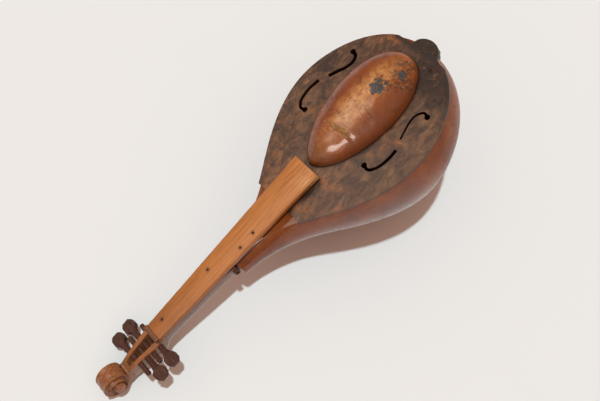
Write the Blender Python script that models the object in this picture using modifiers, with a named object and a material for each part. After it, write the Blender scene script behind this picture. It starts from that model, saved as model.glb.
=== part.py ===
"""Gourd-bodied mandolin of the violin pattern, lying at rest on its back. Blender 4.5, metres, +Z up.

The instrument is modelled in its own frame: +Y from the scroll to the tail, +X to its right-hand side, +Z out
of the belly plate, with the origin on the plate's top at the middle of its straight neck end. One empty then
lays the whole assembly down on the ground, where it rests on the round of the gourd and on the scroll.
"""

import math

import bmesh
import bpy
import numpy as np
from mathutils import Euler, Matrix, Vector

# How the assembly lies: nose down, rolled to its left, and the ground point below its middle.
REST_PITCH = math.radians(16.197)
REST_ROLL = math.radians(-17.330)
REST_PLACE = (0.0017, 0.0159, 0.10441)

GAP = 0.0003  # glue line or play between two neighbouring pieces

# Gourd bowl
NECK_CUT_Y = -0.0882  # where the gourd's own neck is cut off square
NECK_CUT_RADIUS = 0.0204
SHOULDER = (0.0210, 0.0599)  # (y, radius) where the neck flares into the body
WIDEST = (0.1365, 0.1066)
TAIL_Y = 0.2590
GOURD_WALL = 0.0045
AXIS_DEPTH = 0.0378  # the sections' centres lie this far below the plate's top at the widest place
AXIS_RISE_NECK = 0.0168
AXIS_RISE_TAIL = 0.0063
GOURD_SIDES = 40

# Belly plate and its raised dome
PLATE_THICKNESS = 0.003
PLATE_OVERHANG = 0.0015
PLATE_TAIL_Y = 0.2551
EAR_X, EAR_Y, EAR_HALF_WIDTH, EAR_LENGTH = 0.0048, 0.2490, 0.0198, 0.0155
TAIL_SKEW, SKEW_FROM_Y, SKEW_TO_Y = 0.0046, 0.12, 0.23  # the plate is cut fuller at the right of its tail
DOME_CENTRE = (-0.0026, 0.1596)
DOME_HALF_WIDTH = 0.0451
DOME_NECK_Y, DOME_TAIL_Y = 0.0588, 0.2331
DOME_HEIGHT = 0.0273
DOME_FULLNESS = 2.4  # exponent of the dome's section: 2 is an ellipse, more is fuller in the shoulder
DOME_WALL = 0.003
LINING_REACH, LINING_THICKNESS = 0.0053, 0.0042

# Sound slots: widths at the break and at the round end, then the (x, y) centreline between them
SLOTS = {
    "tail_right": (
        (0.0024, 0.0036),
        (
            (0.0629, 0.1505), (0.0594, 0.1620), (0.0562, 0.1745),
            (0.0567, 0.1835), (0.0620, 0.1915), (0.0691, 0.1900),
        ),
    ),
    "neck_right": (
        (0.0044, 0.0040),
        (
            (0.0686, 0.1378), (0.0692, 0.1280), (0.0682, 0.1170),
            (0.0655, 0.1070), (0.0590, 0.0995), (0.0512, 0.1006),
        ),
    ),
    "tail_left": (
        (0.0048, 0.0046),
        (
            (-0.0722, 0.1545), (-0.0669, 0.1660), (-0.0618, 0.1765),
            (-0.0602, 0.1870), (-0.0636, 0.1945), (-0.0704, 0.1963),
        ),
    ),
    "neck_left": (
        (0.0048, 0.0038),
        (
            (-0.0785, 0.1425), (-0.0804, 0.1300), (-0.0797, 0.1180),
            (-0.0768, 0.1085), (-0.0705, 0.1027), (-0.0636, 0.1040),
        ),
    ),
}
SLOT_EYE_RADIUS = 0.0036

# Fingerboard, neck and pegbox
BOARD_NUT_Y, BOARD_END_Y = -0.2142, 0.0546
BOARD_HALF_WIDTHS = (0.0132, 0.0213)
BOARD_UNDER_Z = (0.0016, 0.0042)
BOARD_SIDES = (0.0053, 0.0071)
BOARD_CROWN = 0.0015
NECK_LEAVES_BOARD_Y = -0.1124
NUT_LENGTH = 0.0055
THROAT_Y, PEGBOX_LEAN_Y = -0.2707, -0.2247
SLOT_FROM_Y, SLOT_TO_Y = -0.2655, -0.2210
TENON_END_Y, TENON_Z, TENON_RADIUS = -0.0546, -0.0200, 0.0118

# Pegs: (name, y, side of the head, how much shorter its head end is)
PEG_AXIS_Z = -0.0068
PEGS = (
    ("peg_1", -0.2227, 1, 0.0024), ("peg_2", -0.2342, -1, 0.0),
    ("peg_3", -0.2436, 1, 0.0), ("peg_4", -0.2545, -1, 0.0022),
)
PEG_LEAN = math.radians(2.5)  # the holes are bored a little askew, so right-hand heads lie toward the body
PEG_TIP, PEG_COLLAR, PEG_HEAD = 0.0282, 0.0278, 0.0296
PEG_RADII = (0.0030, 0.0040)  # at the tip and below the collar
PEG_PLAY = 0.00025
HEAD_OUTLINE = ((0.0036, 0.0), (0.0082, 0.0046), (0.0082, 0.0126), (0.0046, 0.0175))  # (half-width, out)
HEAD_THICKNESS = 0.0086

# Scroll: a spiral that shrinks as it turns and stands wider to both sides at each turn
SCROLL_CENTRE = (-0.2901, -0.0029)  # (y, z)
SCROLL_RADII = (0.0222, 0.0140, 0.0089, 0.0059)  # outline's radius at the start of each turn
SCROLL_HALF_WIDTHS = (0.0106, 0.0138, 0.0163)
SCROLL_EYE = (0.0048, 0.0186)  # radius and half-width

# Small fastenings: (x, y)
BOARD_NAILS = ((0.0095, -0.0462), (0.0105, -0.0693), (-0.0021, -0.1155), (-0.0021, -0.1963))
NAIL_RADIUS, NAIL_LENGTH = 0.0013, 0.0160
BELLY_NAIL = (0.0293, 0.2350)
DOWEL_Y, DOWEL_Z, DOWEL_RADIUS = -0.0940, -0.0110, 0.0038
PIN_X, PIN_Z, PIN_RADIUS, PIN_HEAD_RADIUS = -0.0006, -0.0292, 0.0032, 0.0058


def clear_scene():
    for old in list(bpy.data.objects):
        bpy.data.objects.remove(old, do_unlink=True)


def new_collection(name):
    made = bpy.data.collections.new(name)
    bpy.context.scene.collection.children.link(made)
    return made


def material(name, colour, roughness, metallic=0.0, coat=0.0):
    made = bpy.data.materials.new(name)
    made.use_nodes = True
    shader = made.node_tree.nodes["Principled BSDF"]
    shader.inputs["Base Color"].default_value = (*colour, 1.0)
    shader.inputs["Roughness"].default_value = roughness
    shader.inputs["Metallic"].default_value = metallic
    shader.inputs["Coat Weight"].default_value = coat
    return made


# Curves and outlines


def bezier(ends, handles, count):
    """Points along one cubic, both ends included."""
    start, end = (np.array(p, float) for p in ends)
    near, far = (np.array(p, float) for p in handles)
    t = np.linspace(0, 1, count)[:, None]
    return (1 - t) ** 3 * start + 3 * (1 - t) ** 2 * t * near + 3 * (1 - t) * t**2 * far + t**3 * end


def smooth_line(points, count):
    """A Catmull-Rom curve through the points, evenly sampled in its parameter."""
    p = np.array(points, float)
    p = np.vstack([2 * p[0] - p[1], p, 2 * p[-1] - p[-2]])
    made = []
    for u in np.linspace(0, len(points) - 1, count):
        i = min(int(u), len(points) - 2)
        t = u - i
        a, b, c, d = p[i : i + 4]
        curve = (2 * a - 5 * b + 4 * c - d) * t**2 + (3 * b - a - 3 * c + d) * t**3
        made.append(0.5 * (2 * b + (c - a) * t + curve))
    return np.array(made)


def offset(loop, distance):
    """A closed loop of (x, y) points, counter-clockwise, moved outwards by a distance."""
    along = np.roll(loop, -1, axis=0) - np.roll(loop, 1, axis=0)
    along /= np.linalg.norm(along, axis=1)[:, None]
    return loop + distance * np.column_stack([along[:, 1], -along[:, 0]])


def circle(centre, radius, count):
    turn = np.linspace(0, 2 * math.pi, count, endpoint=False)
    return np.column_stack([centre[0] + radius * np.cos(turn), centre[1] + radius * np.sin(turn)])


def gourd_profile():
    """(y, radius) of the gourd's outside from the cut neck to the tail."""
    cut = (NECK_CUT_Y, NECK_CUT_RADIUS)
    neck = bezier((cut, SHOULDER), ((-0.0441, 0.0226), (-0.0105, 0.0389)), 9)
    body = bezier((SHOULDER, WIDEST), ((0.0609, 0.0866), (0.0966, WIDEST[1])), 9)
    tail = bezier((WIDEST, (TAIL_Y, 0)), ((0.1869, WIDEST[1]), (TAIL_Y, 0.0698)), 15)
    return np.vstack([neck, body[1:], tail[1:]])


def axis_z(y):
    """Height of the centre of the gourd's section at y."""
    toward_neck = np.clip((WIDEST[0] - y) / (WIDEST[0] - NECK_CUT_Y), 0, None) ** 1.5
    toward_tail = np.clip((y - WIDEST[0]) / (TAIL_Y - WIDEST[0]), 0, None) ** 2
    return -AXIS_DEPTH + AXIS_RISE_NECK * toward_neck + AXIS_RISE_TAIL * toward_tail


def pegbox_lean(y):
    """Sideways offset of the pegbox's middle at y: it leans a little to the left toward the throat."""
    return -0.0018 * float(np.clip((PEGBOX_LEAN_Y - y) / (PEGBOX_LEAN_Y - THROAT_Y), 0, 1))


def skew(y):
    """How far to the right the middle of the body lies at y."""
    t = float(np.clip((y - SKEW_FROM_Y) / (SKEW_TO_Y - SKEW_FROM_Y), 0, 1))
    return TAIL_SKEW * t * t * (3 - 2 * t)


def moved_profile(distance):
    """The gourd's profile moved outwards by a distance, square to itself."""
    line = gourd_profile()
    along = np.gradient(line, axis=0)
    along /= np.linalg.norm(along, axis=1)[:, None]
    moved = line + distance * np.column_stack([-along[:, 1], along[:, 0]])
    moved[:, 1] = np.maximum(moved[:, 1], 0)
    moved[-1, 1] = 0
    return moved


def rim_half_width(y):
    """Half the width of the gourd's opening in the plane of the plate's underside."""
    line = gourd_profile()
    radius = np.interp(y, line[:, 0], line[:, 1])
    drop = -PLATE_THICKNESS - axis_z(y)
    return math.sqrt(max(radius**2 - drop**2, 0))


def plate_outline():
    """The belly plate: the gourd's rim with an overhang, a straight neck end and a round ear at the tail."""
    across = np.sin(np.linspace(0, math.pi / 2, 30))
    ys = PLATE_TAIL_Y * across
    body = [(rim_half_width(y) + PLATE_OVERHANG, y) for y in ys if y < EAR_Y - 0.0021]
    turn = np.linspace(-0.04, math.pi / 2, 12)
    ear = [(EAR_HALF_WIDTH * math.cos(a), EAR_Y + EAR_LENGTH * math.sin(a)) for a in turn]
    right = [(x + skew(y), y) for x, y in body if x > EAR_HALF_WIDTH + 0.004]
    left = [(-x, y) for x, y in body if x > EAR_HALF_WIDTH - EAR_X + 0.003]
    right += [(EAR_X + x, y) for x, y in ear]
    left += [(EAR_X - x, y) for x, y in ear[:-1]]
    return np.array(right + left[::-1])


def dome_outline():
    """The dome's foot: bluntly pointed toward the neck, round at the tail."""
    x, y = DOME_CENTRE
    wide = (DOME_HALF_WIDTH, y)
    neck_half = bezier(((0, DOME_NECK_Y), wide), ((0.0221, 0.0630), (DOME_HALF_WIDTH, 0.1092)), 13)
    tail_half = bezier((wide, (0, DOME_TAIL_Y)), ((DOME_HALF_WIDTH, 0.2027), (0.0263, DOME_TAIL_Y)), 11)
    right = np.vstack([neck_half, tail_half[1:]])
    left = right[-2:0:-1] * (-1, 1)
    return np.vstack([right, left]) + (x, 0)


def board_at(values, y):
    """One of the fingerboard's tapering sizes at y."""
    return float(np.interp(y, (BOARD_NUT_Y, BOARD_END_Y), values))


# Solids


def object_from(name, bm, place=(0, 0, 0)):
    bmesh.ops.recalc_face_normals(bm, faces=bm.faces)
    mesh = bpy.data.meshes.new(name)
    bm.to_mesh(mesh)
    bm.free()
    made = bpy.data.objects.new(name, mesh)
    made.location = place
    return made


def loft(name, rings):
    """A closed skin over rings of points; a ring of one point is a tip, and an open end gets a flat face."""
    bm = bmesh.new()
    rows = [[bm.verts.new(p) for p in ring] for ring in rings]
    for a, b in zip(rows, rows[1:]):
        count = max(len(a), len(b))
        for i in range(count):
            j = (i + 1) % count
            if len(a) == 1:
                bm.faces.new((a[0], b[i], b[j]))
            elif len(b) == 1:
                bm.faces.new((a[i], b[0], a[j]))
            else:
                bm.faces.new((a[i], b[i], b[j], a[j]))
    for end in (rows[0], rows[-1]):
        if len(end) > 2:
            bm.faces.new(end)
    return object_from(name, bm)


def flat_solid(name, loops, low, high, place=(0, 0, 0)):
    """A flat piece between two heights: the first loop is its outline, and the others are holes."""
    drawing = bpy.data.curves.new(name, "CURVE")
    drawing.dimensions = "2D"
    drawing.fill_mode = "BOTH"
    drawing.extrude = (high - low) / 2
    for loop in loops:
        spline = drawing.splines.new("POLY")
        spline.points.add(len(loop) - 1)
        spline.use_cyclic_u = True
        for point, (x, y) in zip(spline.points, loop):
            point.co = (x, y, 0, 1)
    curve = bpy.data.objects.new(name, drawing)
    bpy.context.scene.collection.objects.link(curve)
    bpy.context.view_layer.update()
    mesh = bpy.data.meshes.new_from_object(curve.evaluated_get(bpy.context.evaluated_depsgraph_get()))
    bpy.data.objects.remove(curve)
    bm = bmesh.new()
    bm.from_mesh(mesh)
    bpy.data.meshes.remove(mesh)
    bmesh.ops.remove_doubles(bm, verts=bm.verts, dist=1e-6)
    bmesh.ops.translate(bm, verts=bm.verts, vec=(0, 0, (low + high) / 2))
    return object_from(name, bm, place)


def box(name, low, high):
    low, high = Vector(low), Vector(high)
    bm = bmesh.new()
    size = Matrix.Diagonal((*(high - low), 1))
    bmesh.ops.create_cube(bm, size=1, matrix=Matrix.Translation((low + high) / 2) @ size)
    return object_from(name, bm)


def rod(name, start, end, radii, sides=16):
    """A round bar from one point to another, with a radius at each end."""
    start, end = Vector(start), Vector(end)
    turn = (end - start).to_track_quat("Z", "Y").to_matrix().to_4x4()
    bm = bmesh.new()
    bmesh.ops.create_cone(
        bm, cap_ends=True, segments=sides, radius1=radii[0], radius2=radii[1], depth=(end - start).length,
        matrix=Matrix.Translation((start + end) / 2) @ turn,
    )
    return object_from(name, bm)


def turned(name, profile, sides=20):
    """A turned piece from a (radius, z) profile that runs down its outer side, by a Screw about Z."""
    bm = bmesh.new()
    verts = [bm.verts.new((r, 0, z)) for r, z in profile]
    for a, b in zip(verts, verts[1:]):
        bm.edges.new((a, b))
    mesh = bpy.data.meshes.new(name)
    bm.to_mesh(mesh)
    bm.free()
    made = bpy.data.objects.new(name, mesh)
    screw = made.modifiers.new("turn", "SCREW")
    screw.steps = screw.render_steps = sides
    screw.use_merge_vertices = True
    screw.merge_threshold = 0.00005
    return made


def tube_rings(profile, sides=GOURD_SIDES):
    """Rings of a body of circular sections whose centres follow the gourd's bent axis."""
    turn = (np.arange(sides) + 0.5) * 2 * math.pi / sides
    rings = []
    for y, radius in profile:
        x, z = 0, axis_z(y)
        if radius < 1e-6:
            rings.append([(x, y, z)])
        else:
            rings.append([(x + radius * math.sin(a), y, z + radius * math.cos(a)) for a in turn])
    return rings


def gourd_body(name, distance, start=None, end=None):
    """The gourd's outside moved outwards by a distance, cut square at start and end where they are given."""
    line = moved_profile(distance)
    if start is not None:
        radius = np.interp(start, line[:, 0], line[:, 1])
        line = np.vstack([(start, radius), line[line[:, 0] > start + 0.0011]])
    if end is not None:
        radius = np.interp(end, line[:, 0], line[:, 1])
        line = np.vstack([line[line[:, 0] < end - 0.0011], (end, radius)])
    return loft(name, tube_rings(line))


class Assembly:
    """The collections, the empty that lays the instrument down, and the ways to add pieces and cutters."""

    def __init__(self):
        self.parts = new_collection("gourd_mandolin")
        self.cutters = new_collection("cutters")
        self.base = bpy.data.objects.new("instrument", None)
        self.parts.objects.link(self.base)

    def add(self, piece, finish, angle=35):
        self.parts.objects.link(piece)
        piece.parent = self.base
        piece.data.materials.append(finish)
        if piece.data.polygons:
            piece.data.shade_smooth()
            piece.data.set_sharp_from_angle(angle=math.radians(angle))
        return piece

    def helper(self, cutter):
        self.cutters.objects.link(cutter)
        cutter.parent = self.base
        cutter.hide_render = True
        cutter.display_type = "WIRE"
        return cutter

    def boolean(self, piece, other, operation="DIFFERENCE"):
        if other.name not in self.cutters.objects and other.name not in self.parts.objects:
            self.helper(other)
        step = piece.modifiers.new(other.name, "BOOLEAN")
        step.operation = operation
        step.solver = "EXACT"
        step.object = other
        return piece

    def lay_down(self):
        self.base.rotation_euler = (REST_PITCH, REST_ROLL, 0)
        self.base.location = REST_PLACE


# The body


def make_bowl(assembly, finish):
    """The gourd shell, sawn open in one plane under the belly plate and square across its neck."""
    bowl = assembly.add(gourd_body("gourd_bowl", 0), finish)
    inside = gourd_body("bowl_hollow", -GOURD_WALL, start=NECK_CUT_Y - 0.01)
    top = box("bowl_open_top", (-0.15, -0.12, -PLATE_THICKNESS - GAP), (0.15, 0.30, 0.10))
    assembly.boolean(bowl, inside)
    assembly.boolean(bowl, top)
    x = PIN_X
    hole = rod("bowl_pin_hole", (x, 0.2363, PIN_Z), (x, 0.27, PIN_Z), (PIN_RADIUS + GAP,) * 2)
    assembly.boolean(bowl, hole)
    for x, y in BOARD_NAILS[:2]:
        assembly.boolean(bowl, nail_hole(f"bowl_nail_hole_{round(-y * 1000)}", x, y))
    return bowl


def slot_loop(widths, centreline):
    """Outline of one sound slot, a stroke from its break to its round end."""
    line = smooth_line(centreline, 15)
    half = np.linspace(*widths, len(line))[:, None] / 2
    along = np.gradient(line, axis=0)
    along /= np.linalg.norm(along, axis=1)[:, None]
    side = np.column_stack([along[:, 1], -along[:, 0]])
    return np.vstack([line + half * side, (line - half * side)[::-1]])


def make_plate(assembly, finish):
    """The flat belly with the dome's opening, four sound slots and the hole of one nail."""
    loops = [plate_outline(), offset(dome_outline(), GAP)]
    plate = assembly.add(flat_solid("belly_plate", loops, -PLATE_THICKNESS, 0), finish)
    low, high = -PLATE_THICKNESS - 0.0021, 0.0021
    for name, (widths, line) in SLOTS.items():
        assembly.boolean(plate, flat_solid("slot_" + name, [slot_loop(widths, line)], low, high))
        eye = [circle(line[-1], SLOT_EYE_RADIUS, 14)]
        assembly.boolean(plate, flat_solid(f"slot_{name}_eye", eye, low - 0.0005, high + 0.0005))
    x, y = BELLY_NAIL
    assembly.boolean(plate, rod("belly_nail_hole", (x, y, -0.01), (x, y, 0.01), (NAIL_RADIUS + GAP,) * 2, 12))
    return plate


def make_dome(assembly, finish):
    """A hollow cap of gourd shell that stands through the plate on the lining below it."""
    foot = dome_outline()
    centre = np.array(DOME_CENTRE)

    def ring(scale, z):
        return [(x, y, z) for x, y in centre + (foot - centre) * scale]

    def cap(shrink, height):
        made = []
        for a in np.linspace(0, math.pi / 2, 9)[:-1]:
            scale = math.cos(a) ** (2 / DOME_FULLNESS)
            made.append(ring(scale * shrink, height * math.sin(a) ** (2 / DOME_FULLNESS)))
        return made + [[(*centre, height)]]

    shrink = 1 - DOME_WALL / DOME_HALF_WIDTH
    outer = [ring(1, -PLATE_THICKNESS)] + cap(1, DOME_HEIGHT)
    inner = [ring(shrink, -PLATE_THICKNESS)] + cap(shrink, DOME_HEIGHT - DOME_WALL)
    return assembly.add(loft("belly_dome", inner[::-1] + outer), finish, 50)


def make_lining(assembly, finish):
    """A flat wooden ring glued under the plate, which the dome stands on."""
    top = -PLATE_THICKNESS - GAP
    loops = [offset(dome_outline(), LINING_REACH), offset(dome_outline(), -LINING_REACH)]
    return assembly.add(flat_solid("dome_lining", loops, top - LINING_THICKNESS, top), finish)


def make_neck_block(assembly, finish):
    """The wooden plug in the gourd's neck. It holds the neck's tenon and shows beside the fingerboard."""
    block = gourd_body("neck_block", -GOURD_WALL - GAP, start=NECK_CUT_Y + GAP, end=0.0189)
    assembly.add(block, finish)
    top = box("block_top", (-0.06, -0.12, -PLATE_THICKNESS - GAP), (0.06, 0.06, 0.06))
    assembly.boolean(block, top)
    assembly.boolean(block, loft("mortise", tenon_rings(GAP)))
    for x, y in BOARD_NAILS[:2]:
        assembly.boolean(block, nail_hole(f"block_nail_hole_{round(-y * 1000)}", x, y))
    return block


def make_tail_pieces(assembly, block_finish, knob_finish, pin_finish):
    """The block inside the tail, the knob under the plate's ear, and the end pin through the gourd."""
    x = PIN_X
    block = box("tail_block", (x - 0.0210, 0.2400, -0.0540), (x + 0.0210, 0.2751, -0.0084))
    assembly.add(block, block_finish)
    assembly.boolean(block, gourd_body("tail_inside", -GOURD_WALL - GAP), "INTERSECT")
    hole = rod("tail_pin_hole", (x, 0.22, PIN_Z), (x, 0.27, PIN_Z), (PIN_RADIUS + GAP,) * 2)
    assembly.boolean(block, hole)

    turn = np.linspace(0, math.pi, 19)
    half, length = EAR_HALF_WIDTH - 0.0016, EAR_LENGTH - 0.0013
    outline = [(EAR_X + half * math.cos(a), EAR_Y + length * math.sin(a)) for a in turn]
    knob = flat_solid("tail_knob", [outline], -PLATE_THICKNESS - GAP - 0.0100, -PLATE_THICKNESS - GAP)
    assembly.add(knob, knob_finish)
    assembly.boolean(knob, gourd_body("knob_seat", GAP))

    head_out = 0.0078
    profile = (
        (0, head_out), (PIN_HEAD_RADIUS * 0.62, head_out - 0.0004), (PIN_HEAD_RADIUS, head_out - 0.0032),
        (PIN_HEAD_RADIUS * 0.92, 0.0013), (PIN_RADIUS + 0.0004, 0.0004), (PIN_RADIUS, 0.0002),
        (PIN_RADIUS * 0.9, -0.0194), (0, -0.0194),
    )
    pin = assembly.add(turned("end_pin", profile), pin_finish)
    pin.location = (x, TAIL_Y + GAP, PIN_Z)
    pin.rotation_euler = (-math.pi / 2, 0, 0)


# The neck, the fingerboard and what is on them


def section(y, half_width, top, depth, squareness, corners=9):
    """A flat-topped section with a rounded underside; the squareness is its superellipse exponent."""
    power = 2 / squareness
    ring = []
    for a in np.linspace(0, math.pi, 2 * corners - 1):
        across = math.copysign(abs(math.cos(a)) ** power, math.cos(a))
        ring.append((half_width * across, y, top - depth * math.sin(a) ** power))
    return ring


def tenon_section(y, grow=0.0, corners=9):
    """A round tenon with a flat along its top."""
    turn = np.linspace(math.radians(50), math.radians(-230), 2 * corners - 1)
    radius = TENON_RADIUS + grow
    return [(radius * math.cos(a), y, TENON_Z + radius * math.sin(a)) for a in turn]


def tenon_rings(grow):
    """The mortise for the tenon in the plug, grown by the glue line."""
    return [tenon_section(y, grow) for y in (NECK_CUT_Y - 0.005, TENON_END_Y + 4 * grow)]


def make_neck(assembly, finish):
    """Neck, pegbox and tenon carved from one piece: a U-shaped shaft, then the box with its slot."""
    under = board_at(BOARD_UNDER_Z, BOARD_NUT_Y) - GAP
    leave = board_at(BOARD_UNDER_Z, NECK_LEAVES_BOARD_Y) - GAP
    wide_nut = BOARD_HALF_WIDTHS[0] - 0.0002
    wide_leave = board_at(BOARD_HALF_WIDTHS, NECK_LEAVES_BOARD_Y) - 0.0004
    stations = (
        # y, half-width, top, depth, squareness
        (THROAT_Y, 0.0090, -0.0052, 0.0222, 4.5),
        (-0.2665, 0.0091, -0.0036, 0.0243, 4.5),
        (-0.2600, 0.0098, -0.0018, 0.0266, 4.5),
        (-0.2499, 0.0109, -0.0004, 0.0285, 4.5),
        (-0.2352, 0.0126, 0.0007, 0.0302, 4.5),
        (-0.2247, 0.0139, under, 0.0305, 4.2),
        (-0.2184, 0.0141, under, 0.0286, 3.8),
        (-0.2132, wide_nut, under, 0.0247, 3.2),
        (-0.2058, wide_nut + 0.0001, under, 0.0223, 3.0),
        (-0.1890, wide_nut + 0.0005, under + 0.0001, 0.0215, 3.0),
        (-0.1350, wide_leave - 0.0003, leave - 0.0001, 0.0226, 3.0),
        (NECK_LEAVES_BOARD_Y, wide_leave, leave, 0.0250, 3.0),
        (-0.1050, 0.0153, 0.0004, 0.0242, 3.0),
        (-0.0977, 0.0151, -0.0023, 0.0222, 3.0),
        (-0.0914, 0.0146, -0.0032, 0.0213, 3.0),
    )
    rings = [[(x + pegbox_lean(y), y, z) for x, y, z in section(*s)] for s in stations]
    rings += [tenon_section(y) for y in (NECK_CUT_Y - 0.0008, TENON_END_Y)]
    neck = assembly.add(loft("neck", rings), finish, 40)

    slot = (
        # y, half-width, depth below the peg axis
        (SLOT_FROM_Y, 0.0042, 0.0068),
        (-0.2572, 0.0051, 0.0110),
        (-0.2394, 0.0067, 0.0131),
        (SLOT_TO_Y, 0.0081, 0.0142),
    )
    rings = []
    for y, w, d in slot:
        x, low = pegbox_lean(y), PEG_AXIS_Z - d
        rings.append([(x - w, y, 0.02), (x + w, y, 0.02), (x + w, y, low), (x - w, y, low)])
    assembly.boolean(neck, loft("pegbox_slot", rings))
    for name, y, side, _ in PEGS:
        along = side * Vector((math.cos(PEG_LEAN), math.sin(PEG_LEAN), 0))
        ends = [Vector((0, y, PEG_AXIS_Z)) + x * along for x in (-0.0420, 0.0420)]
        radii = [peg_radius(x) + PEG_PLAY for x in (-0.0420, 0.0420)]
        assembly.boolean(neck, rod(name + "_hole", *ends, radii, 20))
    for x, y in BOARD_NAILS[2:]:
        assembly.boolean(neck, nail_hole(f"neck_nail_hole_{round(-y * 1000)}", x, y))
    ends = [(x, DOWEL_Y, DOWEL_Z) for x in (-0.03, 0.03)]
    assembly.boolean(neck, rod("dowel_hole", *ends, (DOWEL_RADIUS + GAP,) * 2))
    return neck


def make_fingerboard(assembly, finish):
    """Fretless, crowned across its top, tapering from the body to the nut, with four nail holes."""
    rings = []
    for y in np.linspace(BOARD_NUT_Y, BOARD_END_Y, 6):
        half, low, side = (board_at(v, y) for v in (BOARD_HALF_WIDTHS, BOARD_UNDER_Z, BOARD_SIDES))
        crown = [(x * half, y, low + side + BOARD_CROWN * (1 - x * x)) for x in np.linspace(1, -1, 9)]
        rings.append([(-half, y, low), (half, y, low)] + crown)
    board = assembly.add(loft("fingerboard", rings), finish, 30)
    for x, y in BOARD_NAILS:
        assembly.boolean(board, nail_hole(f"board_nail_hole_{round(-y * 1000)}", x, y))
    return board


def make_nut(assembly, finish):
    """The low strip across the strings' way at the fingerboard's narrow end."""
    end = BOARD_NUT_Y - GAP
    half = BOARD_HALF_WIDTHS[0]
    low = BOARD_UNDER_Z[0]
    high = low + BOARD_SIDES[0] + BOARD_CROWN + 0.0004
    nut = box("nut", (-half, end - NUT_LENGTH, low), (half, end, high))
    assembly.add(nut, finish)
    bevel = nut.modifiers.new("worn edges", "BEVEL")
    bevel.width = 0.0008
    bevel.segments = 2
    return nut


def board_top(x, y):
    half = board_at(BOARD_HALF_WIDTHS, y)
    return board_at(BOARD_UNDER_Z, y) + board_at(BOARD_SIDES, y) + BOARD_CROWN * (1 - (x / half) ** 2)


def nail_hole(name, x, y):
    return rod(name, (x, y, -0.0100), (x, y, 0.02), (NAIL_RADIUS + GAP,) * 2, 12)


def make_nails(assembly, finish):
    """Cut nails through the fingerboard, and one through the belly plate near its tail."""
    for number, (x, y) in enumerate(BOARD_NAILS, 1):
        top = board_top(x, y) - 0.0002
        nail = rod(f"board_nail_{number}", (x, y, top), (x, y, top - NAIL_LENGTH), (NAIL_RADIUS, 0.0007), 12)
        assembly.add(nail, finish)
    x, y = BELLY_NAIL
    profile = (
        (0, 0.0013), (0.0015, 0.0011), (0.0025, 0.0003), (NAIL_RADIUS, 0.0003),
        (0.0008, -0.0065), (0, -0.0065),
    )
    nail = assembly.add(turned("belly_nail", profile, 12), finish)
    nail.location = (x, y, 0)


def make_heel_pieces(assembly, dowel_finish, filler_finish):
    """The cross dowel through the neck at the gourd's mouth, and the filler over the neck's sloping top."""
    ends = [(x, DOWEL_Y, DOWEL_Z) for x in (-0.0163, 0.0194)]
    assembly.add(rod("heel_dowel", *ends, (DOWEL_RADIUS, DOWEL_RADIUS), 20), dowel_finish)
    clear = GAP * 1.5
    stations = (
        # y, half-width, lowest
        (-0.1092, 0.0124, 0.0015),
        (-0.1050, 0.0126, 0.0004),
        (-0.0977, 0.0128, -0.0023),
        (-0.0929, 0.0126, -0.0030),
    )
    rings = []
    for y, half, low in stations:
        high = board_at(BOARD_UNDER_Z, y) - GAP
        rings.append([(-half, y, low + clear), (half, y, low + clear), (half, y, high), (-half, y, high)])
    return assembly.add(loft("heel_filler", rings), filler_finish)


def peg_radius(x):
    """Radius of the tapered shank, x metres from the pegbox's middle toward the head."""
    near, far = PEG_RADII
    return near + (far - near) * (x + PEG_TIP) / (PEG_TIP + PEG_COLLAR)


def make_pegs(assembly, finish):
    """Friction pegs: a tapered shank through both cheeks, a collar, and a flat six-sided head."""
    for name, y, side, short in PEGS:
        collar, head = PEG_COLLAR - short, PEG_HEAD - short
        profile = (
            (0, head + 0.0026), (0.0034, head + 0.0021), (0.0036, head), (0.0049, head - 0.0004),
            (0.0049, collar), (peg_radius(collar), collar - 0.0008),
            (peg_radius(-PEG_TIP + 0.0011), -PEG_TIP + 0.0011), (peg_radius(-PEG_TIP) - 0.0008, -PEG_TIP),
            (0, -PEG_TIP),
        )
        right = [(x, head + out) for x, out in HEAD_OUTLINE]
        outline = right + [(-x, z) for x, z in right[::-1]]
        peg = assembly.add(turned(name, profile), finish)
        blade = flat_solid(name + "_blade", [outline], -HEAD_THICKNESS / 2, HEAD_THICKNESS / 2)
        bevel = blade.modifiers.new("soft edges", "BEVEL")
        bevel.width = 0.0012
        bevel.segments = 1
        bevel.limit_method = "ANGLE"
        stand_up = Matrix.Rotation(math.pi / 2, 4, "X")  # the outline's second axis becomes the peg's length
        blade.data.transform(stand_up)
        assembly.boolean(peg, blade, "UNION")
        for piece in (peg, blade):
            piece.location = (0, y, PEG_AXIS_Z)
            piece.rotation_euler = Euler((math.pi / 2, 0, side * math.pi / 2 + PEG_LEAN), "XYZ")


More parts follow.
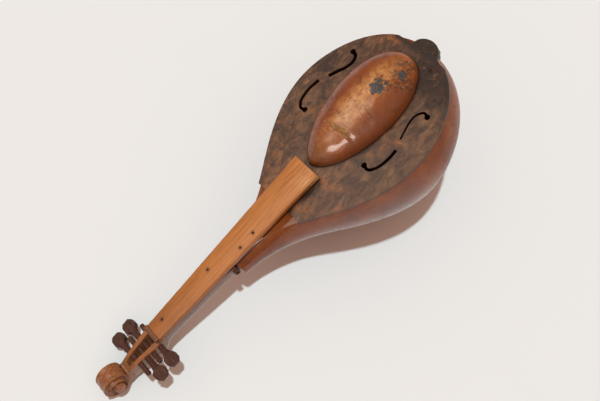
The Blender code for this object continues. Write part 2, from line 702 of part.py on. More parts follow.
def make_scroll(assembly, finish):
    """The scroll: spiral discs one inside the other, each wider than the last, and a round eye through."""
    x0, (y0, z0) = pegbox_lean(THROAT_Y), SCROLL_CENTRE
    joint = THROAT_Y - GAP

    def spiral(turn_from, turn_to, start_angle=-math.pi / 2, count=28):
        a = np.linspace(0, 2 * math.pi, count)
        radius = turn_from * (turn_to / turn_from) ** (a / (2 * math.pi))
        angle = start_angle - a
        return [(y0 + r * math.cos(t), z0 + r * math.sin(t)) for r, t in zip(radius, angle)]

    throat = [(joint - 0.0021, -0.0052), (joint, -0.0054)]
    outline = [(joint, -0.0270)] + spiral(*SCROLL_RADII[:2])[:20] + throat
    body = flat_solid("scroll", [outline], x0 - SCROLL_HALF_WIDTHS[0], x0 + SCROLL_HALF_WIDTHS[0])
    upright = Matrix(((0, 0, 1, 0), (1, 0, 0, 0), (0, 1, 0, 0), (0, 0, 0, 1)))
    body.data.transform(upright)
    assembly.add(body, finish)
    for turn, half in enumerate(SCROLL_HALF_WIDTHS[1:], 1):
        loop = spiral(SCROLL_RADII[turn], SCROLL_RADII[turn + 1])
        disc = flat_solid(f"scroll_turn_{turn}", [loop], x0 - half, x0 + half)
        disc.data.transform(upright)
        assembly.boolean(body, disc, "UNION")
    radius, half = SCROLL_EYE
    ends = ((x0 - half, y0, z0), (x0 + half, y0, z0))
    assembly.boolean(body, rod("scroll_eye", *ends, (radius, radius), 20), "UNION")
    return body


def main():
    clear_scene()
    lacquered_gourd = material("lacquered_gourd", (0.26, 0.075, 0.018), 0.22, coat=0.6)
    dark_wood = material("dark_stained_wood", (0.085, 0.050, 0.033), 0.6)
    honey_wood = material("honey_wood", (0.45, 0.19, 0.055), 0.42, coat=0.2)
    neck_wood = material("varnished_neck_wood", (0.20, 0.085, 0.040), 0.3, coat=0.4)
    inner_wood = material("plain_wood", (0.42, 0.27, 0.14), 0.75)
    scroll_wood = material("scroll_wood", (0.30, 0.105, 0.035), 0.35, coat=0.3)
    peg_wood = material("dark_peg_wood", (0.055, 0.022, 0.016), 0.5)
    iron = material("old_iron", (0.06, 0.045, 0.035), 0.6, metallic=0.8)
    putty = material("grey_filler", (0.27, 0.22, 0.18), 0.9)

    assembly = Assembly()
    make_bowl(assembly, lacquered_gourd)
    make_plate(assembly, dark_wood)
    make_dome(assembly, lacquered_gourd)
    make_lining(assembly, inner_wood)
    make_neck_block(assembly, lacquered_gourd)
    make_tail_pieces(assembly, inner_wood, dark_wood, peg_wood)
    make_neck(assembly, neck_wood)
    make_scroll(assembly, scroll_wood)
    make_fingerboard(assembly, honey_wood)
    make_nut(assembly, dark_wood)
    make_pegs(assembly, peg_wood)
    make_nails(assembly, iron)
    make_heel_pieces(assembly, peg_wood, putty)
    assembly.lay_down()


main()
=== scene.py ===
from math import copysign, cos, exp, pi, radians, sin, sqrt

import bmesh
import bpy
import numpy as np
from mathutils import Euler, Matrix, Vector, noise


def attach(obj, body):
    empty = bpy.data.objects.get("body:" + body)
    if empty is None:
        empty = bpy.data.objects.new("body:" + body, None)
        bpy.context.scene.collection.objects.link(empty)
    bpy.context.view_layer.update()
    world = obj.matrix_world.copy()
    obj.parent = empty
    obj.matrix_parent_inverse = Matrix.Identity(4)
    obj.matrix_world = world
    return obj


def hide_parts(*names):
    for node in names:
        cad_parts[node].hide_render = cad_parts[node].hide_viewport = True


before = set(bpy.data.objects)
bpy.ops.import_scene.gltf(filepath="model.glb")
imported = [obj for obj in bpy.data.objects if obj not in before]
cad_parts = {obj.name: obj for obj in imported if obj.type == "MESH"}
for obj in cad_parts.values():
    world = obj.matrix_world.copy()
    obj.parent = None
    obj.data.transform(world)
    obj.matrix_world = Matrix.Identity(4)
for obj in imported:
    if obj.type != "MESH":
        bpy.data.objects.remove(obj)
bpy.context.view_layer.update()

# The instrument's own frame: +Y to the tail, +X to its right, +Z out of the belly. REST lays it on the ground.
PITCH, ROLL, PLACE = radians(16.197), radians(-17.33), (0.0017, 0.0159, 0.10441)
REST = Matrix.Translation(PLACE) @ Euler((PITCH, ROLL, 0)).to_matrix().to_4x4()

GAP, SKIN = 0.0003, 0.0004  # between glued faces; how far the gourd lies inside its CAD solid
NECK_CUT_Y, NECK_CUT_RADIUS = -0.0882, 0.0204
SHOULDER, WIDEST, TAIL_Y = (0.021, 0.0599), (0.1365, 0.1066), 0.259
GOURD_WALL = 0.0045
AXIS_DEPTH, AXIS_RISE_NECK, AXIS_RISE_TAIL = 0.0378, 0.0168, 0.0063
PLATE_THICKNESS, PLATE_OVERHANG, PLATE_TAIL_Y = 0.003, 0.0012, 0.2551
EAR_X, EAR_Y, EAR_HALF_WIDTH, EAR_LENGTH = 0.0048, 0.249, 0.0196, 0.0153
TAIL_SKEW, SKEW_FROM_Y, SKEW_TO_Y = 0.0046, 0.12, 0.23
DOME_CENTRE, DOME_HALF_WIDTH, DOME_NECK_Y, DOME_TAIL_Y = (-0.0026, 0.1596), 0.0451, 0.0588, 0.2331
DOME_HEIGHT, DOME_FULLNESS, DOME_WALL = 0.0273, 2.4, 0.003
SCAR, SCAR_SLOPE = (0.006, 0.111), 0.1
SLOTS = (  # a sound slot's widths at its ends, and its centre line toward the round eye
    ((0.0024, 0.0036), (
        (0.0629, 0.1505), (0.0594, 0.162), (0.0562, 0.1745), (0.0567, 0.1835), (0.062, 0.1915), (0.0691, 0.19),
    )),
    ((0.0044, 0.004), (
        (0.0686, 0.1378), (0.0692, 0.128), (0.0682, 0.117), (0.0655, 0.107), (0.059, 0.0995), (0.0512, 0.1006),
    )),
    ((0.0048, 0.0046), (
        (-0.0722, 0.1545), (-0.0669, 0.166), (-0.0618, 0.1765), (-0.0602, 0.187), (-0.0636, 0.1945), (-0.0704, 0.1963),
    )),
    ((0.0048, 0.0038), (
        (-0.0785, 0.1425), (-0.0804, 0.13), (-0.0797, 0.118), (-0.0768, 0.1085), (-0.0705, 0.1027), (-0.0636, 0.104),
    )),
)
SLOT_EYE_RADIUS = 0.0036
BOARD_NUT_Y, BOARD_END_Y = -0.2142, 0.0546
BOARD_HALF_WIDTHS, BOARD_UNDER_Z = (0.0132, 0.0213), (0.0016, 0.0042)
BOARD_SIDES, BOARD_CROWN = (0.0053, 0.0071), 0.0015
NECK_LEAVES_BOARD_Y = -0.1124
NUT_LENGTH = 0.0055
THROAT_Y, PEGBOX_LEAN_Y, SLOT_FROM_Y, SLOT_TO_Y = -0.2707, -0.2247, -0.2655, -0.221
NECK_END_Y, TENON_FROM_Y, TENON_END_Y, TENON_Z, TENON_RADIUS = -0.0914, -0.092, -0.0546, -0.02, 0.0118
PEG_AXIS_Z = -0.0068
PEGS = (  # name, place, the side of its head, and how much nearer than usual the head stands
    ("peg_1", -0.2227, 1, 0.0024), ("peg_2", -0.2342, -1, 0.0),
    ("peg_3", -0.2436, 1, 0.0), ("peg_4", -0.2545, -1, 0.0022),
)
PEG_TIP, PEG_COLLAR, PEG_HEAD, PEG_RADII = 0.0282, 0.0278, 0.0296, (0.003, 0.004)
PEG_LEAN, PEG_PLAY = radians(2.5), 0.00025
SCROLL_CENTRE, SCROLL_RADIUS, SCROLL_SHRINK, SCROLL_TURNS = (-0.2901, -0.0029), 0.022, 0.64, 2.6
BOARD_NAILS = ((0.0095, -0.0462), (0.0105, -0.0693), (-0.0021, -0.1155), (-0.0021, -0.1963))
NAIL_RADIUS, BELLY_NAIL = 0.0013, (0.0293, 0.235)
DOWEL_Y, DOWEL_Z, DOWEL_RADIUS = -0.094, -0.011, 0.0038
PIN_X, PIN_Z, PIN_RADIUS, PIN_HEAD_RADIUS = -0.0006, -0.0292, 0.0032, 0.0058


# Curves and outlines

def bezier(ends, handles, count):
    start, end = (np.array(p, float) for p in ends)
    near, far = (np.array(p, float) for p in handles)
    t = np.linspace(0, 1, count)[:, None]
    return (1 - t) ** 3 * start + 3 * (1 - t) ** 2 * t * near + 3 * (1 - t) * t**2 * far + t**3 * end


def smooth_line(points, count):
    p = np.array(points, float)
    p = np.vstack([2 * p[0] - p[1], p, 2 * p[-1] - p[-2]])
    made = []
    for u in np.linspace(0, len(points) - 1, count):
        i = min(int(u), len(points) - 2)
        t = u - i
        a, b, c, d = p[i : i + 4]
        made.append(0.5 * (2 * b + (c - a) * t + (2 * a - 5 * b + 4 * c - d) * t**2 + (3 * b - a - 3 * c + d) * t**3))
    return np.array(made)


def blurred(values, width):
    """A running average with a bell-shaped weight, the ends held."""
    reach = int(3 * width)
    kernel = np.exp(-0.5 * (np.arange(-reach, reach + 1) / width) ** 2)
    padded = np.pad(values, reach, mode="edge")
    return np.convolve(padded, kernel / kernel.sum(), "valid")


def unit(rows):
    return rows / np.linalg.norm(rows, axis=1)[:, None]


def around(sides):
    return np.linspace(0, 2 * pi, sides, endpoint=False)


def offset(loop, distance):
    along = unit(np.roll(loop, -1, axis=0) - np.roll(loop, 1, axis=0))
    return loop + distance * np.column_stack([along[:, 1], -along[:, 0]])


def gourd_profile():
    cut = (NECK_CUT_Y, NECK_CUT_RADIUS)
    neck = bezier((cut, SHOULDER), ((-0.0441, 0.0226), (-0.0105, 0.0389)), 40)
    body = bezier((SHOULDER, WIDEST), ((0.0609, 0.0866), (0.0966, WIDEST[1])), 40)
    tail = bezier((WIDEST, (TAIL_Y, 0)), ((0.1869, WIDEST[1]), (TAIL_Y, 0.0698)), 60)
    return np.vstack([neck, body[1:], tail[1:]])


def axis_z(y):
    toward_neck = np.clip((WIDEST[0] - y) / (WIDEST[0] - NECK_CUT_Y), 0, None) ** 1.5
    toward_tail = np.clip((y - WIDEST[0]) / (TAIL_Y - WIDEST[0]), 0, None) ** 2
    return -AXIS_DEPTH + AXIS_RISE_NECK * toward_neck + AXIS_RISE_TAIL * toward_tail


def pegbox_lean(y):
    return -0.0018 * float(np.clip((PEGBOX_LEAN_Y - y) / (PEGBOX_LEAN_Y - THROAT_Y), 0, 1))


def skew(y):
    t = float(np.clip((y - SKEW_FROM_Y) / (SKEW_TO_Y - SKEW_FROM_Y), 0, 1))
    return TAIL_SKEW * t * t * (3 - 2 * t)


def moved_profile(distance):
    """The gourd's profile, moved outward by a distance."""
    line = gourd_profile()
    along = unit(np.gradient(line, axis=0))
    moved = line + distance * np.column_stack([-along[:, 1], along[:, 0]])
    moved[:, 1] = np.maximum(moved[:, 1], 0)
    moved[-1, 1] = 0
    return moved


def rim_half_width(y):
    """Half the gourd's width in the plane under the plate."""
    line = gourd_profile()
    radius = np.interp(y, line[:, 0], line[:, 1])
    return sqrt(max(radius**2 - (-PLATE_THICKNESS - axis_z(y)) ** 2, 0))


def plate_outline():
    ys = PLATE_TAIL_Y * np.sin(np.linspace(0, pi / 2, 90))
    body = [(rim_half_width(y) + PLATE_OVERHANG, y) for y in ys if y < EAR_Y - 0.0021]
    turn = np.linspace(-0.04, pi / 2, 24)
    ear = [(EAR_HALF_WIDTH * cos(a), EAR_Y + EAR_LENGTH * sin(a)) for a in turn]
    right = [(x + skew(y), y) for x, y in body if x > EAR_HALF_WIDTH + 0.004]
    left = [(-x, y) for x, y in body if x > EAR_HALF_WIDTH - EAR_X + 0.003]
    right += [(EAR_X + x, y) for x, y in ear]
    left += [(EAR_X - x, y) for x, y in ear[:-1]]
    return np.array(right + left[::-1])


def dome_outline(count=48):
    x, y = DOME_CENTRE
    wide = (DOME_HALF_WIDTH, y)
    neck_half = bezier(((0, DOME_NECK_Y), wide), ((0.0221, 0.063), (DOME_HALF_WIDTH, 0.1092)), count)
    tail_half = bezier((wide, (0, DOME_TAIL_Y)), ((DOME_HALF_WIDTH, 0.2027), (0.0263, DOME_TAIL_Y)), count)
    right = np.vstack([neck_half, tail_half[1:]])
    return np.vstack([right, right[-2:0:-1] * (-1, 1)]) + (x, 0)


def board_at(values, y):
    return float(np.interp(y, (BOARD_NUT_Y, BOARD_END_Y), values))


def board_top(x, y):
    half = board_at(BOARD_HALF_WIDTHS, y)
    return board_at(BOARD_UNDER_Z, y) + board_at(BOARD_SIDES, y) + BOARD_CROWN * (1 - (x / half) ** 2)


def ripple(p, scale, seed=0.0):
    """Smooth noise in about -1 to 1 at a place, for a given wavelength in metres."""
    return noise.noise(Vector((p[0] / scale + seed, p[1] / scale - seed, p[2] / scale + 3 * seed)))


# Meshes

def linked(name, data):
    made = bpy.data.objects.new(name, data)
    bpy.context.scene.collection.objects.link(made)
    return made


def new_object(name, bm):
    mesh = bpy.data.meshes.new(name)
    bm.to_mesh(mesh)
    bm.free()
    return linked(name, mesh)


def solid(name, bm):
    bmesh.ops.recalc_face_normals(bm, faces=bm.faces)
    return new_object(name, bm)


def loft(name, rings):
    """A closed skin over rings of points; a ring of one point is a pole."""
    bm = bmesh.new()
    rows = [[bm.verts.new(p) for p in ring] for ring in rings]
    for a, b in zip(rows, rows[1:]):
        count = max(len(a), len(b))
        for i in range(count):
            j = (i + 1) % count
            if len(a) == 1:
                bm.faces.new((a[0], b[i], b[j]))
            elif len(b) == 1:
                bm.faces.new((a[i], b[0], a[j]))
            else:
                bm.faces.new((a[i], b[i], b[j], a[j]))
    for end in (rows[0], rows[-1]):
        if len(end) > 2:
            bm.faces.new(end)
    return solid(name, bm)


def evaluated_mesh(obj):
    bpy.context.view_layer.update()
    return bpy.data.meshes.new_from_object(obj.evaluated_get(bpy.context.evaluated_depsgraph_get()))


def evaluated(obj):
    """The object with its modifiers made real."""
    mesh = evaluated_mesh(obj)
    obj.modifiers.clear()
    obj.data = mesh
    return obj


def flat_solid(name, loops, low, high):
    """Flat outlines, the first filled and the others cut out of it, made solid between two heights."""
    drawing = bpy.data.curves.new(name, "CURVE")
    drawing.dimensions = "2D"
    drawing.fill_mode = "BOTH"
    drawing.extrude = (high - low) / 2
    for loop in loops:
        spline = drawing.splines.new("POLY")
        spline.points.add(len(loop) - 1)
        spline.use_cyclic_u = True
        for point, (x, y) in zip(spline.points, loop):
            point.co = (x, y, 0, 1)
    curve = linked(name, drawing)
    mesh = evaluated_mesh(curve)
    bpy.data.objects.remove(curve)
    bm = bmesh.new()
    bm.from_mesh(mesh)
    bmesh.ops.remove_doubles(bm, verts=bm.verts, dist=1e-6)
    bmesh.ops.translate(bm, verts=bm.verts, vec=(0, 0, (low + high) / 2))
    return solid(name, bm)


def box(name, low, high):
    low, high = Vector(low), Vector(high)
    bm = bmesh.new()
    bmesh.ops.create_cube(bm, size=1, matrix=Matrix.Translation((low + high) / 2) @ Matrix.Diagonal((*(high - low), 1)))
    return new_object(name, bm)


def rod(name, start, end, radii, sides=32):
    start, end = Vector(start), Vector(end)
    near, far = np.broadcast_to(radii, 2)
    turn = (end - start).to_track_quat("Z", "Y").to_matrix().to_4x4()
    bm = bmesh.new()
    bmesh.ops.create_cone(
        bm, cap_ends=True, segments=sides, radius1=near, radius2=far, depth=(end - start).length,
        matrix=Matrix.Translation((start + end) / 2) @ turn,
    )
    return new_object(name, bm)


def join_shape(obj, other, operation="DIFFERENCE"):
    """One exact Boolean, made real at once; the other shape is used up."""
    step = obj.modifiers.new("step", "BOOLEAN")
    step.operation = operation
    step.solver = "EXACT"
    step.object = other
    evaluated(obj)
    bpy.data.objects.remove(other)
    return obj


def bevelled(obj, width, segments=2, angle=40):
    step = obj.modifiers.new("edges", "BEVEL")
    step.width = width
    step.segments = segments
    step.limit_method = "ANGLE"
    step.angle_limit = radians(angle)
    return evaluated(obj)


def turned(name, profile, sides):
    """A turned shape about +Z from (radius, z) points, from one pole to the other."""
    rings = []
    for r, z in profile:
        if r < 1e-7:
            rings.append([(0, 0, z)])
        else:
            rings.append([(r * cos(a), r * sin(a), z) for a in around(sides)])
    return loft(name, rings)


def nail_hole(obj, x, y, sides=16):
    join_shape(obj, rod("nail_hole", (x, y, -0.01), (x, y, 0.02), NAIL_RADIUS + GAP, sides))


def finish(obj, look, nodes, angle=40, body="instrument"):
    """Lays a piece on the ground with the rest, gives it its material, and ties it to its body and CAD nodes."""
    obj.data.transform(REST)
    obj.data.materials.clear()
    obj.data.materials.append(look)
    obj.data.shade_smooth()
    obj.data.set_sharp_from_angle(angle=radians(angle))
    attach(obj, body)
    if nodes:
        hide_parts(*nodes)


# Materials

def linear(rgb):
    """A shader's colour for sRGB levels of 0 to 255."""
    return (*(((c / 255 + 0.055) / 1.055) ** 2.4 for c in rgb), 1)


class Look:
    """One node material, with places in the instrument's own frame and colours in sRGB levels of 0 to 255."""

    def __init__(self, name, rest=True, **values):
        self.material = bpy.data.materials.new(name)
        self.material.use_nodes = True
        self.nodes = self.material.node_tree.nodes
        self.links = self.material.node_tree.links
        self.shader = self.nodes["Principled BSDF"]
        for key, value in values.items():
            self.shader.inputs[key.replace("_", " ")].default_value = value
        self.place = self.new("TexCoord").outputs["Object"]
        if rest:
            lay = self.new("Mapping")
            lay.vector_type = "TEXTURE"
            lay.inputs["Location"].default_value = PLACE
            lay.inputs["Rotation"].default_value = (PITCH, ROLL, 0)
            self.links.new(self.place, lay.inputs["Vector"])
            self.place = lay.outputs["Vector"]
        axes = self.new("SeparateXYZ")
        self.links.new(self.place, axes.inputs[0])
        self.x, self.y, self.z = axes.outputs

    def new(self, kind):
        return self.nodes.new("ShaderNode" + kind)

    def put(self, socket, value):
        if isinstance(value, bpy.types.NodeSocket):
            self.links.new(value, socket)
        elif isinstance(value, tuple):
            socket.default_value = linear(value)
        else:
            socket.default_value = value

    def math(self, kind, *values):
        node = self.new("Math")
        node.operation = kind
        for socket, value in zip(node.inputs, values):
            self.put(socket, value)
        return node.outputs[0]

    def fold(self, kind, values):
        total, *others = values
        for other in others:
            total = self.math(kind, total, other)
        return total

    def times(self, *values):
        return self.fold("MULTIPLY", values)

    def most(self, values):
        return self.fold("MAXIMUM", values)

    def texture(self, kind, wavelength, shift, **values):
        """A texture node for a wavelength in metres, one number or one for each axis."""
        sizes = wavelength if isinstance(wavelength, tuple) else (wavelength,) * 3
        lay = self.new("Mapping")
        self.links.new(self.place, lay.inputs["Vector"])
        lay.inputs["Scale"].default_value = tuple(1 / s for s in sizes)
        lay.inputs["Location"].default_value = shift
        node = self.new(kind)
        self.links.new(lay.outputs["Vector"], node.inputs["Vector"])
        for key, value in {"Scale": 1.0, **values}.items():
            node.inputs[key].default_value = value
        return node

    def noise(self, wavelength, detail, rough, warp=0.0, shift=0.0):
        places = (shift, shift * 1.7, shift * 0.6)
        node = self.texture("TexNoise", wavelength, places, Detail=detail, Roughness=rough, Distortion=warp)
        return node.outputs["Fac"]

    def cracks(self, wavelength, shift):
        """0 on the borders of irregular cells, rising inside them."""
        node = self.texture("TexVoronoi", wavelength, (shift,) * 3)
        node.feature = "DISTANCE_TO_EDGE"
        return node.outputs["Distance"]

    def span(self, value, low, high, start=0.0, end=1.0):
        """A smooth step from start to end while the value goes from low to high."""
        node = self.new("MapRange")
        node.interpolation_type = "SMOOTHSTEP"
        for socket, number in zip(node.inputs, (value, low, high, start, end)):
            self.put(socket, number)
        return node.outputs["Result"]

    def stain(self, tone, *shares):
        """Mixes a tone into the colour so far; its share is the product of the numbers given."""
        node = self.new("Mix")
        node.data_type = "RGBA"
        for number, value in ((0, self.times(*shares)), (6, self.colour), (7, tone)):
            self.put(node.inputs[number], value)
        self.colour = node.outputs[2]

    def ramp(self, value, *stops):
        node = self.new("ValToRGB")
        self.put(node.inputs[0], value)
        marks = node.color_ramp.elements
        while len(marks) < len(stops):
            marks.new(0.5)
        for mark, (place, colour) in zip(marks, stops):
            mark.position, mark.color = place, linear(colour)
        return node.outputs["Color"]

    def blot(self, x, y, inner, outer, ragged=0.0):
        """1 round a place on the instrument, falling to 0 between two radii."""
        dx, dy = self.math("SUBTRACT", self.x, x), self.math("SUBTRACT", self.y, y)
        far = self.math("SQRT", self.math("ADD", self.times(dx, dx), self.times(dy, dy)))
        return self.span(self.math("ADD", far, ragged), inner, outer, 1, 0)

    def done(self, roughness, *reliefs):
        """Ends the material. Each relief is a height and its size in metres, and lies on the one before."""
        normal = None
        for height, distance in reliefs:
            node = self.new("Bump")
            node.inputs["Distance"].default_value = distance
            self.put(node.inputs["Height"], height)
            if normal:
                self.links.new(normal, node.inputs["Normal"])
            normal = node.outputs["Normal"]
        for key, value in (("Base Color", self.colour), ("Roughness", roughness), ("Normal", normal)):
            self.put(self.shader.inputs[key], value)
        return self.material


def occlusion_shade(look, reach):
    """Painted shade from ambient occlusion: 1 in a narrow gap, 0 in the open."""
    node = look.new("AmbientOcclusion")
    node.inputs["Distance"].default_value = reach
    node.samples = 8
    return look.span(node.outputs["AO"], 0.5, 0.88, 1, 0)


def gourd_look():
    look = Look("gourd_lacquer", Coat_Roughness=0.08, Coat_IOR=1.45, Specular_IOR_Level=0.1, IOR=1.5)
    wide = look.noise(0.055, 5, 0.6, 0.4)
    fine = look.noise(0.006, 5, 0.65, 0.6, 3.1)
    look.colour = look.ramp(wide, (0.3, (104, 50, 22)), (0.52, (134, 68, 30)), (0.72, (154, 86, 38)))
    look.stain((84, 42, 24), look.span(fine, 0.52, 0.74, 0, 0.55))
    look.stain((170, 108, 66), look.span(look.noise(0.018, 4, 0.6, 0.8, 9.0), 0.58, 0.76, 0, 0.3))
    scratch = look.span(look.noise((0.0006, 0.03, 0.006), 3, 0.6, 1.2, 5.0), 0.64, 0.72, 0, 0.35)
    look.stain((168, 116, 80), scratch)
    look.put(look.shader.inputs["Coat Weight"], look.span(look.y, 0.1, 0.18, 0.9, 0.15))
    return look.done(look.span(fine, 0.3, 0.8, 0.26, 0.46), (wide, 0.001), (fine, 0.00012))


def dome_look():
    look = Look("dome_lacquer", Coat_Weight=0.6, Coat_Roughness=0.16, Specular_IOR_Level=0.4, IOR=1.5)
    wide = look.noise(0.035, 5, 0.6, 0.5, 1.0)
    fine = look.noise(0.004, 6, 0.65, 0.4, 7.0)
    look.colour = look.ramp(wide, (0.28, (112, 48, 8)), (0.52, (142, 66, 12)), (0.74, (164, 84, 22)))
    # A lighter band along the dome's ridge: partly worn lacquer, partly a painted sheen.
    across = look.math("SUBTRACT", look.x, DOME_CENTRE[0] + 0.004)
    across = look.math("ADD", across, look.math("MULTIPLY_ADD", wide, 0.03, -0.015))
    middle = look.span(look.math("ABSOLUTE", across), 0.004, 0.024, 1, 0)
    length = look.times(look.span(look.y, 0.095, 0.135, 0.35, 1), look.span(look.y, 0.185, 0.225, 1, 0.2))
    worn_and_sheen = look.span(look.noise(0.007, 6, 0.7, 0.6, 2.0), 0.34, 0.62, 0.15, 1)
    look.stain((214, 150, 84), middle, length, worn_and_sheen, 0.85)
    # Painted shade: the dome darkens toward its right flank.
    look.stain((104, 56, 32), look.span(look.x, 0.016, 0.04, 0, 0.75), look.span(wide, 0.3, 0.7, 0.5, 1))
    look.stain((92, 48, 26), look.span(look.y, 0.066, 0.1, 0.55, 0))
    crack = look.span(look.cracks((0.02, 0.012, 0.02), 4.0), 0.0, 0.045, 1, 0)
    crack = look.times(crack, look.span(look.noise(0.02, 3, 0.5, 0, 6.0), 0.48, 0.62))
    look.stain((60, 32, 20), crack, 0.55)
    ragged = look.math("MULTIPLY_ADD", look.noise(0.006, 5, 0.7, 0.5, 8.0), 0.022, -0.011)
    ragged_far = look.math("MULTIPLY_ADD", look.noise(0.012, 5, 0.7, 0.5, 12.0), 0.045, -0.0225)
    places = ((0.007, 0.177, 0.0082), (0.003, 0.184, 0.003), (0.017, 0.206, 0.0046), (0.012, 0.187, 0.0016))
    chips = look.most([look.blot(x, y, r - 0.0004, r + 0.0004, ragged) for x, y, r in places])
    places = ((0.022, 0.203, 0.019), (0.012, 0.219, 0.014), (0.012, 0.186, 0.013))
    halo = look.most([look.blot(x, y, r * 0.6, r, ragged_far) for x, y, r in places])
    grime = look.times(halo, look.span(look.noise(0.0035, 6, 0.75, 0.3, 14.0), 0.46, 0.62))
    look.stain((74, 50, 34), grime, 0.85)
    flaked = look.times(halo, look.span(look.noise((0.01, 0.0022, 0.004), 6, 0.7, 0.8, 19.0), 0.56, 0.66))
    look.stain((196, 160, 118), flaked, 0.8)
    chip_colour = look.ramp(look.noise(0.002, 4, 0.6, 0, 3.0), (0.3, (58, 56, 58)), (0.7, (88, 84, 82)))
    look.stain(chip_colour, chips)
    look.stain((52, 30, 20), look.span(look.z, 0.0035, 0.0), 0.7)
    rough = look.most([look.span(fine, 0.3, 0.8, 0.28, 0.5), look.times(chips, 0.75)])
    dents, lumps = look.noise(0.01, 5, 0.65, 0.2, 21.0), look.times(grime, look.noise(0.0028, 5, 0.7, 0.5, 15.0))
    pits, gaps = look.times(chips, -1), look.times(crack, -1)
    return look.done(
        rough, (wide, 0.0012), (dents, 0.0009), (fine, 0.00025), (pits, 0.0006), (lumps, 0.0012), (gaps, 0.0003)
    )


def scar_look():
    look = Look("torn_fibre", IOR=1.45)
    grain = look.noise((0.006, 0.0008, 0.002), 6, 0.7, 0.8)
    look.colour = look.ramp(grain, (0.32, (92, 54, 24)), (0.5, (170, 118, 62)), (0.68, (222, 180, 116)))
    return look.done(0.85, (grain, 0.0008))


def plate_look():
    look = Look("plate_stain", Coat_Weight=0.3, Coat_Roughness=0.25, Specular_IOR_Level=0.3, IOR=1.48)
    wide = look.noise(0.048, 5, 0.6, 0.8, 2.0)
    mid = look.noise((0.012, 0.02, 0.012), 7, 0.72, 0.5, 4.0)
    fine = look.noise((0.0014, 0.0036, 0.002), 6, 0.7, 0.3, 6.0)
    stops = ((0.3, (38, 25, 19)), (0.45, (78, 52, 36)), (0.57, (112, 78, 54)), (0.72, (160, 114, 78)))
    look.colour = look.ramp(mid, *stops)
    warm = look.span(look.noise(0.009, 6, 0.75, 0.4, 23.0), 0.44, 0.66)
    look.stain((162, 94, 46), look.span(wide, 0.5, 0.64), warm, 0.85)
    patches = look.noise((0.02, 0.03, 0.02), 6, 0.68, 0.7, 11.0)
    rim = look.math("ADD", look.span(look.x, -0.045, -0.095, 0, 0.1), look.span(look.y, 0.02, 0.0, 0, 0.06))
    look.stain((38, 28, 26), look.span(look.math("ADD", patches, rim), 0.56, 0.68), 0.75)
    side = look.times(look.span(look.y, 0.185, 0.225), look.span(look.x, -0.004, 0.018))
    tail = look.most([side, look.span(look.y, 0.236, 0.246)])
    lumps = look.noise(0.01, 6, 0.7, 0.5, 27.0)
    tail = look.times(tail, look.span(lumps, 0.62, 0.46, 0.25, 1))
    black = look.ramp(fine, (0.35, (33, 25, 24)), (0.7, (62, 48, 42)))
    look.stain(black, tail, 0.95)
    line = look.noise((0.0007, 0.02, 0.01), 4, 0.6, 1.4, 8.0)
    streak = look.times(look.span(line, 0.6, 0.7), look.span(mid, 0.35, 0.6, 0.2, 1))
    look.stain((164, 128, 100), streak, 0.3)
    look.stain((40, 29, 24), look.span(fine, 0.54, 0.72), 0.55)
    crumbs = look.span(look.noise(0.0016, 4, 0.7, 0.3, 33.0), 0.66, 0.72, 0, 0.45)
    look.stain((176, 142, 112), crumbs)
    look.stain((62, 42, 32), look.span(look.z, -0.0004, -0.0014), 0.6)
    # Painted shade: the plate darkens in its gaps and beside the dome, fingerboard and nails.
    look.stain((26, 18, 15), occlusion_shade(look, 0.007), 0.85)
    rough, lumps, lines = look.span(mid, 0.3, 0.7, 0.36, 0.6), look.times(tail, lumps), look.times(streak, -1)
    return look.done(rough, (mid, 0.0005), (lumps, 0.003), (fine, 0.00032), (lines, 0.00012))


def knob_look():
    look = Look("knob_stain", Coat_Weight=0.15, Coat_Roughness=0.4)
    mid = look.noise(0.006, 6, 0.7, 0.6)
    look.colour = look.ramp(mid, (0.3, (30, 22, 20)), (0.55, (52, 38, 33)), (0.75, (84, 60, 48)))
    return look.done(look.span(mid, 0.3, 0.7, 0.45, 0.7), (mid, 0.0008))


def wood_look(name, tones, grain_size=(0.0016, 0.045, 0.004), coat=0.25, roughs=(0.34, 0.52), seed=0.0):
    """Wood with a straight grain, pores and long streaks, in a dark, a middle and a light tone."""
    dark, middle, light = tones
    look = Look(name, Coat_Weight=coat, Coat_Roughness=0.25, Specular_IOR_Level=0.3, IOR=1.5)
    grain = look.noise(grain_size, 5, 0.6, 0.5, seed)
    broad = look.noise((0.008, 0.09, 0.02), 4, 0.6, 0.5, seed + 2)
    pores = look.noise((0.00035, 0.006, 0.0008), 3, 0.6, 0.2, seed + 4)
    look.colour = look.ramp(grain, (0.28, dark), (0.5, middle), (0.72, light))
    look.stain(middle, look.span(broad, 0.35, 0.7, 0, 0.5))
    pore = look.span(pores, 0.6, 0.7)
    look.stain(dark, pore, 0.55)
    return look, grain, pore, look.span(grain, 0.3, 0.7, *roughs)


